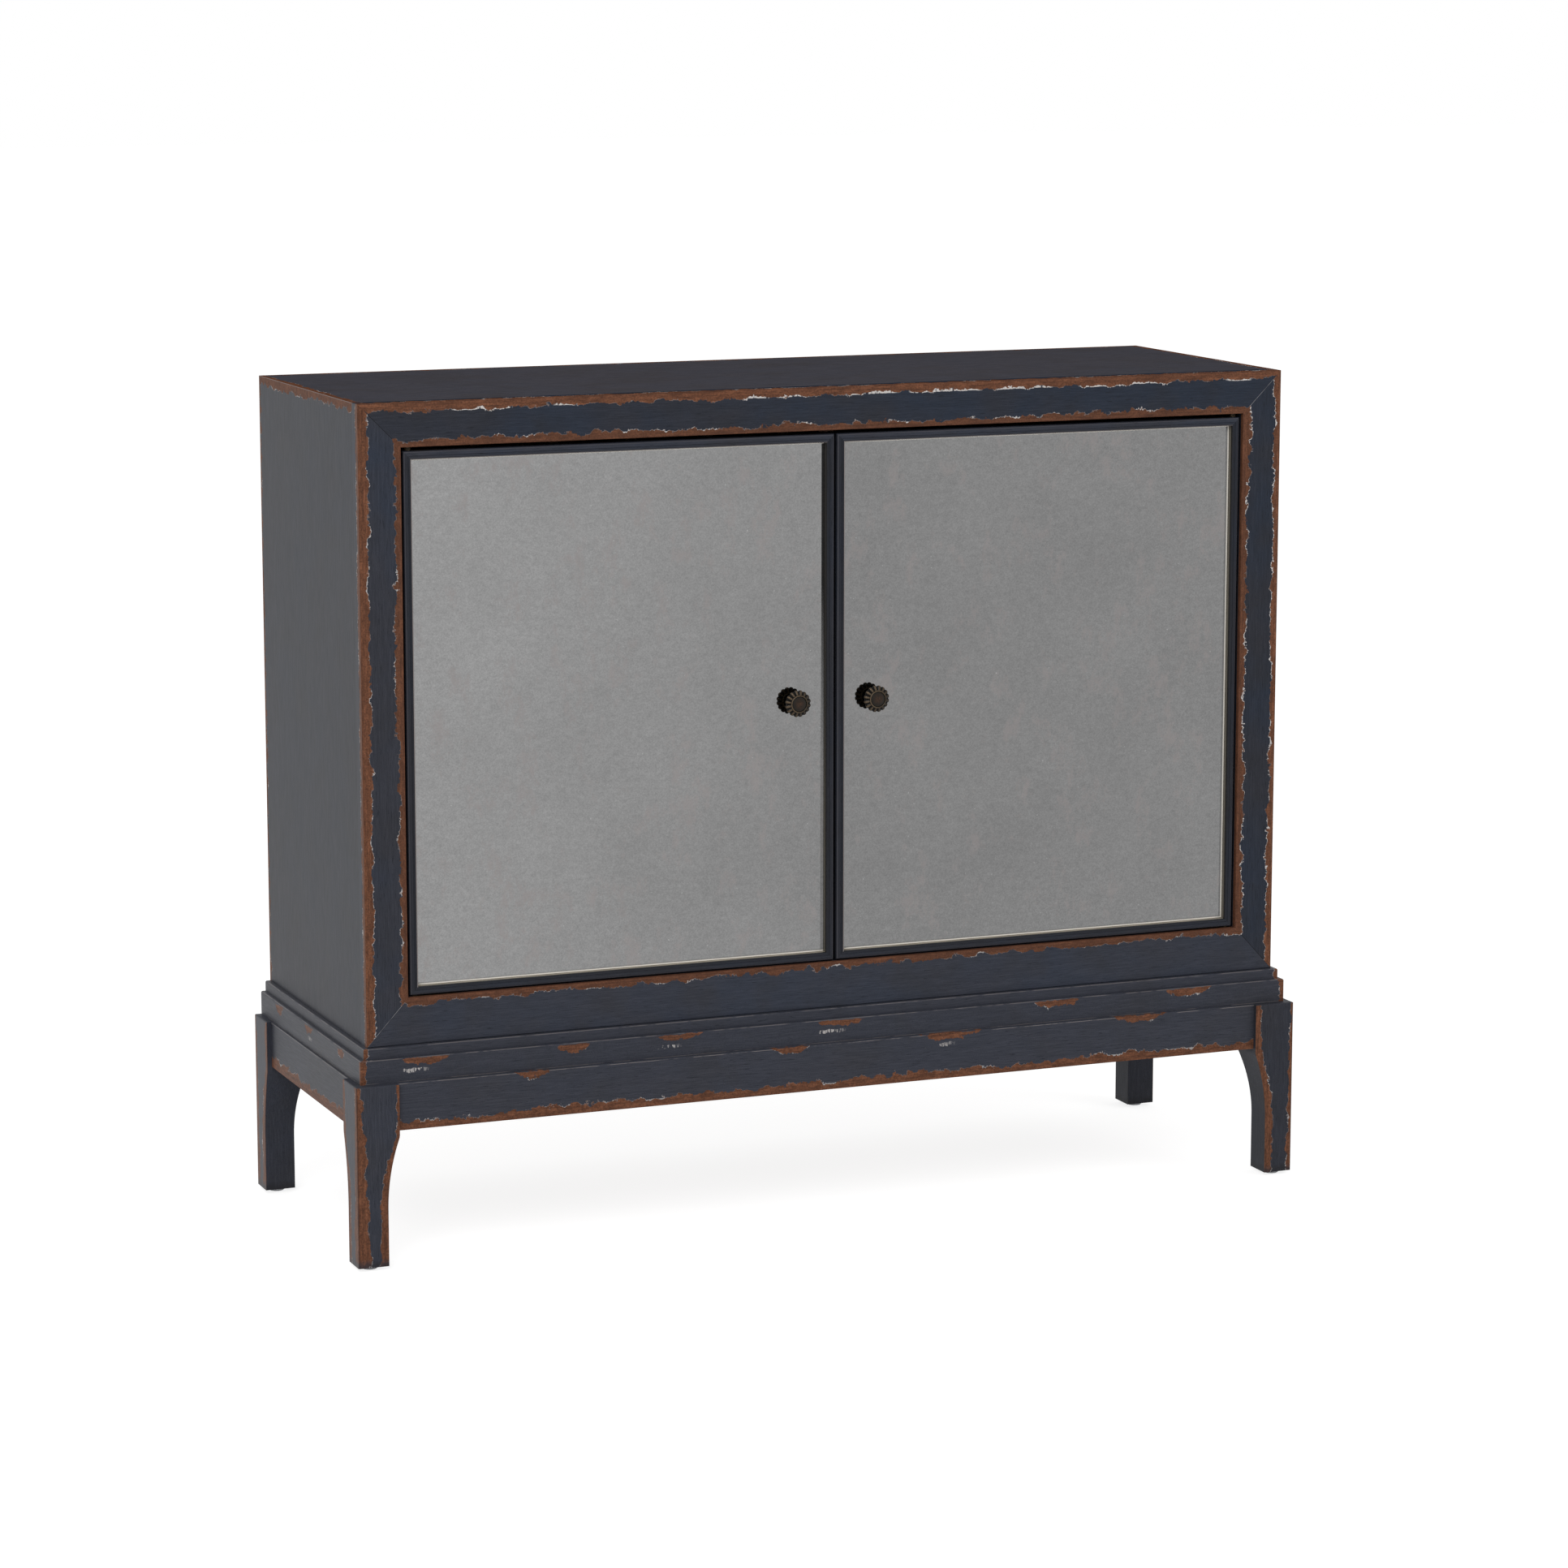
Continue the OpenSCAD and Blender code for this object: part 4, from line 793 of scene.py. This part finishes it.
class CABINET_OT_mirrors(CabinetOperator):
    """Silver the mirrors, with faint clouds, specks, and a bare bevel that is partly painted
    highlight
    """

    bl_idname = "cabinet.mirrors"
    bl_label = "Mirrors"

    def execute(self, context):
        settings = context.scene.cabinet_mirror
        # the right mirror's level darkens its silver as a painted reflection
        for side, level in (("left", 1.0), ("right", settings.right_reflection_level)):
            low, high = node_box(side + "_mirror")
            glass = Surface(side + "_mirror_silver")
            silver = glass.shaded(settings.silver, level)
            cloud = glass.noise(9, 3, 0.55, shift=(0, 0, 2))
            stain = glass.noise(38, 5, 0.75, (1, 1, 0.6), shift=(2, 0, 1))
            mottle = glass.noise(110, 3, 0.6, (1, 1, 1.6), shift=(4, 1, 3))
            grain = glass.noise(620, 2, 0.75)
            speck = glass.noise(300, 1, 0.4, shift=(1, 7, 2))
            # painted reflection: the silver is lightened towards the left and the top
            at_left = glass.times(glass.under(glass.x, -250, 420), 0.21)
            high_up = glass.times(glass.over(glass.z, 640, 560), 0.09 if side == "left" else 0.03)
            colour = glass.mix(glass.over(cloud, 0.5, 0.5), glass.shaded(silver, 0.92),
                               glass.shaded(silver, 0.83))
            painted_reflection = glass.plus(at_left, high_up)
            colour = glass.scale_colour(colour, glass.plus(painted_reflection, 1.0))
            for noise, deep in ((mottle, 0.13), (grain, 0.32)):
                factor = glass.blend(glass.over(noise, 0.5, 0.45), 1 + deep / 2, 1 - deep / 2)
                colour = glass.scale_colour(colour, factor)
            for mask, tint in (
                (glass.over(stain, 0.6, 0.12), (1.06, 0.975, 0.96)),
                (glass.over(speck, 0.77, 0.03), 1.6),
            ):
                colour = glass.mix(glass.times(mask, 0.6), colour, glass.shaded(silver, tint))
            # bare: pale line along the edges, bare glass partly lit as a painted highlight
            bare, matt = self.borders(glass, side, low, high)
            colour = glass.mix(bare, colour, settings.bevel)
            silvered = glass.less(1.0, glass.largest(bare, matt))
            rough = glass.blend(grain, settings.roughness, settings.roughness + 0.04)
            glass.set(colour=colour, metallic=silvered, specular=0.0, roughness=rough)
            give([side + "_mirror"], glass.material)
        return {"FINISHED"}

    def borders(self, glass, side, low, high):
        """Masks of the pale line along the edges, bare glass lightened as a painted highlight, and
        of the dulled silver beside it.
        """
        from_low = glass.less(glass.z, low[2])
        from_top = glass.less(high[2], glass.z)
        from_right = glass.less(high[0], glass.x)
        bare = glass.largest(glass.under(from_low, 1.3, 0.4), glass.under(from_top, 1.2, 0.4))
        dull = glass.under(from_right, 3.9, 0.5)
        if side == "right":
            bare = glass.largest(bare, glass.under(from_right, 1.6, 0.4))
        else:
            dull = glass.times(dull, glass.under(glass.z, 640, 200))
        return bare, glass.largest(dull, glass.under(from_low, 2.6, 0.5))


KNOB_LOBES = 16
KNOB_RING = 0.62  # radius of the raised ring, as a share of the knob's


class CABINET_OT_fittings(CabinetOperator):
    """Finish the knobs, hinges, catches, pins and bolts"""

    bl_idname = "cabinet.fittings"
    bl_label = "Fittings"

    def execute(self, context):
        metal = context.scene.cabinet_metal
        for side in ("left", "right"):
            give([side + "_knob"], self.knob_bronze(side, metal).material)
        give(["frame_hinge_leaves", "hinge_washers", "left_door_hinge_leaves",
              "right_door_hinge_leaves"], self.hinge_bronze(metal).material)
        steel = Surface("zinc_steel")
        cloud = steel.noise(350, 3, 0.6)
        steel.set(colour=steel.mix(cloud, metal.steel, steel.shaded(metal.steel, 0.7)),
                  metallic=1.0, roughness=steel.blend(cloud, 0.25, 0.42))
        give(["shelf_pins", "back_panel_screws", "leg_bolts", "leg_nuts", "catch_magnets",
              "left_catch_plate", "right_catch_plate", "left_knob_screw", "right_knob_screw"],
             steel.material)
        plastic = Surface("catch_plastic")
        cloud = plastic.noise(500, 3, 0.6)
        plastic.set(colour=plastic.mix(cloud, srgb(62, 44, 34), srgb(74, 54, 42)), roughness=0.5)
        plastic.bump(cloud, 0.0001)
        give(["catch_housings"], plastic.material)
        rubber = Surface("bumper_rubber")
        cloud = rubber.noise(600, 2, 0.5)
        rubber.set(colour=rubber.mix(cloud, srgb(196, 196, 190), srgb(176, 176, 170)),
                   roughness=0.35)
        give(["left_bumpers", "right_bumpers"], rubber.material)
        return {"FINISHED"}

    def knob_bronze(self, side, metal):
        """Bronze rubbed on the lobes and the ring, with painted highlights brightest on the upper
        left;
        dark patina in the hollows, deepened as painted shade; and a brown crown.
        """
        low, high = node_box(side + "_knob")
        bronze = Surface(side + "_knob_bronze")
        across = bronze.less(bronze.x, (low[0] + high[0]) / 2)
        up = bronze.less(bronze.z, (low[2] + high[2]) / 2)
        squares = (bronze.math("POWER", length, 2.0) for length in (across, up))
        reach = bronze.math("SQRT", bronze.plus(*squares))
        turn = bronze.times(bronze.math("ARCTAN2", up, across), KNOB_LOBES)
        crest = bronze.times(bronze.math("COSINE", turn), -1.0)
        cloud = bronze.noise(420, 3, 0.6)
        ring = KNOB_RING * (high[0] - low[0]) / 2
        on_rim = bronze.over(reach, ring + 1.2, 0.5)
        on_ring = bronze.under(bronze.apart(reach, ring), 0.7, 0.4)
        groove = bronze.under(bronze.apart(reach, ring - 1.2), 0.5, 0.4)
        # rubbed crests and ring: partly wear, partly painted highlight
        rubbed = bronze.largest(bronze.times(on_rim, bronze.over(crest, 0.55, 0.8)), on_ring)
        # painted light: the rubbed lobes and ring are made brighter towards the upper left, where
        # the lamp is
        lamp_side = bronze.under(bronze.less(across, bronze.times(up, 0.4)), 0.0, 24.0)
        rubbed = bronze.times(rubbed, bronze.blend(cloud, 0.5, 1.2),
                              bronze.blend(lamp_side, 0.25, 1.45))
        brown = bronze.times(bronze.under(reach, 4.0, 6.0), bronze.over(cloud, 0.45, 0.3), 0.8)
        colour = bronze.mix(brown, metal.bronze, metal.bronze_brown)
        # dark hollows between the lobes and in the groove by the ring: patina, deepened as painted
        # shade
        hollow = bronze.times(on_rim, bronze.under(crest, -0.35, 0.9))
        colour = bronze.mix(bronze.largest(hollow, groove), colour,
                            bronze.shaded(metal.bronze, 0.15))
        colour = bronze.mix(rubbed, colour, metal.bronze_high)
        bronze.set(colour=colour, metallic=0.15, roughness=bronze.blend(cloud, 0.2, 0.34),
                   specular=0.2)
        bronze.bump(cloud, 0.00006, 0.4)
        return bronze

    def hinge_bronze(self, metal):
        """Dull bronze, rubbed in small spots."""
        bronze = Surface("hinge_bronze")
        cloud = bronze.noise(400, 3, 0.6)
        colour = bronze.mix(bronze.over(cloud, 0.58, 0.25), metal.bronze, metal.bronze_high)
        bronze.set(colour=colour, metallic=0.2, roughness=bronze.blend(cloud, 0.4, 0.55),
                   specular=0.1)
        bronze.bump(cloud, 0.00012, 0.5)
        return bronze


class CABINET_OT_interior(CabinetOperator):
    """Stain the wood inside the case"""

    bl_idname = "cabinet.interior"
    bl_label = "Interior"

    def execute(self, context):
        grains = {
            "x": ("bottom_panel", "left_shelf", "right_shelf", "stemware_battens", "neck_cradle",
                  "body_cradle", "corner_blocks", "back_panel"),
            "y": ("stemware_rails",),
            "z": ("centre_partition",),
        }
        for grain, names in grains.items():
            wood = Surface("stained_wood_" + grain)
            colour, pores = wood.stained(grain)
            wood.set(colour=colour, roughness=wood.blend(pores, 0.38, 0.55), specular=0.35)
            wood.bump(pores, 0.0002, 0.4)
            give(names, wood.material)
        return {"FINISHED"}


SENSOR_WIDTH = 36  # the camera's, in millimetres
FLOOR_LIT, FLOOR_SEEN = 0.85, 0.4  # grey of the floor for light and for the camera
FLOOR_GLOW = 0.82  # light that the floor gives off to the camera
# name, place, diameter and share of the key power
LAMPS = (
    ("key_light", (-2.6, -3.4, 3.4), 2.6, 1.0),
    ("fill_light", (3.2, -3.0, 2.6), 2.6, 0.45),
)
LAMP_AIM = (0, 0, 0.5)


def join(tree, *pairs):
    """Links each output to the input beside it."""
    for output, socket in pairs:
        tree.links.new(output, socket)


class CABINET_OT_stage(CabinetOperator):
    """Set up the floor, the room light, the key light and the camera"""

    bl_idname = "cabinet.stage"
    bl_label = "Stage"

    def execute(self, context):
        scene = context.scene
        settings = scene.cabinet_stage
        scene.view_settings.view_transform = "Standard"
        self.floor()
        self.room(scene, settings)
        self.lamps(settings)
        self.camera(scene, settings)
        return {"FINISHED"}

    def floor(self):
        """A white floor that keeps the shadow, and is plain white where it is reflected."""
        bpy.ops.object.select_all(action="DESELECT")
        bpy.ops.mesh.primitive_grid_add(x_subdivisions=4, y_subdivisions=4, size=60,
                                        location=(0, 0, 0))
        floor = bpy.context.object
        floor.name = "studio_floor"
        material = bpy.data.materials.new("studio_floor_white")
        tree = empty_tree(material)
        new = tree.nodes.new
        output = new("ShaderNodeOutputMaterial")
        ray = new("ShaderNodeLightPath")
        tint = new("ShaderNodeMix")
        tint.data_type = "RGBA"
        tint.inputs[6].default_value = (FLOOR_LIT, FLOOR_LIT, FLOOR_LIT, 1)
        tint.inputs[7].default_value = (FLOOR_SEEN, FLOOR_SEEN, FLOOR_SEEN, 1)
        matte = new("ShaderNodeBsdfDiffuse")
        level = new("ShaderNodeMath")
        level.operation = "MULTIPLY"
        level.inputs[1].default_value = FLOOR_GLOW
        glow = new("ShaderNodeEmission")
        lit = new("ShaderNodeAddShader")
        white = new("ShaderNodeEmission")
        seen = new("ShaderNodeMixShader")
        join(
            tree,
            (ray.outputs["Is Camera Ray"], tint.inputs["Factor"]),
            (tint.outputs[2], matte.inputs["Color"]),
            (ray.outputs["Is Camera Ray"], level.inputs[0]),
            (level.outputs[0], glow.inputs["Strength"]),
            (matte.outputs[0], lit.inputs[0]),
            (glow.outputs[0], lit.inputs[1]),
            (ray.outputs["Is Glossy Ray"], seen.inputs[0]),
            (lit.outputs[0], seen.inputs[1]),
            (white.outputs[0], seen.inputs[2]),
            (seen.outputs[0], output.inputs["Surface"]),
        )
        floor.data.materials.append(material)

    def room(self, scene, settings):
        """Even light, and plain white behind the cabinet and in what it reflects."""
        world = bpy.data.worlds.new("studio_room")
        scene.world = world
        tree = empty_tree(world)
        new = tree.nodes.new
        output = new("ShaderNodeOutputWorld")
        light = new("ShaderNodeBackground")
        light.inputs["Color"].default_value = (1, 1, 1, 1)
        ray = new("ShaderNodeLightPath")
        seen = new("ShaderNodeMath")
        seen.operation = "MAXIMUM"
        level = new("ShaderNodeMix")
        level.inputs[2].default_value = settings.world_level
        level.inputs[3].default_value = 1.0
        join(
            tree,
            (ray.outputs["Is Camera Ray"], seen.inputs[0]),
            (ray.outputs["Is Glossy Ray"], seen.inputs[1]),
            (seen.outputs[0], level.inputs["Factor"]),
            (level.outputs[0], light.inputs["Strength"]),
            (light.outputs[0], output.inputs["Surface"]),
        )

    def lamps(self, settings):
        for name, place, diameter, share in LAMPS:
            bpy.ops.object.light_add(type="AREA", location=place)
            lamp = bpy.context.object
            lamp.name = name
            lamp.data.shape = "DISK"
            lamp.data.size = diameter
            lamp.data.energy = settings.key_power * share
            lamp.visible_glossy = name == "key_light"
            aim = Vector(LAMP_AIM) - Vector(place)
            lamp.rotation_euler = aim.to_track_quat("-Z", "Y").to_euler()

    def camera(self, scene, settings):
        bpy.ops.object.camera_add(location=settings.eye)
        camera = bpy.context.object
        camera.name = "photo_camera"
        camera.rotation_euler = (math.pi / 2 - settings.pitch, 0, -settings.yaw)
        camera.data.lens = settings.lens
        camera.data.sensor_width = SENSOR_WIDTH
        camera.data.clip_end = 100
        scene.camera = camera


class CABINET_PT_pieces(bpy.types.Panel):
    """Lists the cabinet's settings and its operators"""

    bl_idname = "CABINET_PT_pieces"
    bl_label = "Bar Cabinet"
    bl_space_type = "VIEW_3D"
    bl_region_type = "UI"
    bl_category = "Cabinet"

    def draw(self, context):
        column = self.layout.column()
        for operator in PIECES:
            column.operator(operator.bl_idname)
        for attribute in SETTINGS:
            group = getattr(context.scene, attribute)
            box = self.layout.box()
            for name in group.__annotations__:
                box.prop(group, name)


PIECES = (
    CABINET_OT_stage, CABINET_OT_case_panels, CABINET_OT_face_frame, CABINET_OT_base,
    CABINET_OT_legs, CABINET_OT_doors, CABINET_OT_mirrors, CABINET_OT_fittings,
    CABINET_OT_interior,
)
SETTINGS = {
    "cabinet_paint": CabinetPaintSettings,
    "cabinet_wear": CabinetWearSettings,
    "cabinet_mirror": CabinetMirrorSettings,
    "cabinet_metal": CabinetMetalSettings,
    "cabinet_stage": CabinetStageSettings,
}
CLASSES = (*SETTINGS.values(), *PIECES, CABINET_PT_pieces)


def register():
    for cls in CLASSES:
        bpy.utils.register_class(cls)
    for attribute, cls in SETTINGS.items():
        setattr(bpy.types.Scene, attribute, bpy.props.PointerProperty(type=cls))


def unregister():
    for attribute in SETTINGS:
        delattr(bpy.types.Scene, attribute)
    for cls in reversed(CLASSES):
        bpy.utils.unregister_class(cls)


def main():
    register()
    for piece in PIECES:
        group, name = piece.bl_idname.split(".")
        getattr(getattr(bpy.ops, group), name)()


if __name__ == "__main__":
    main()
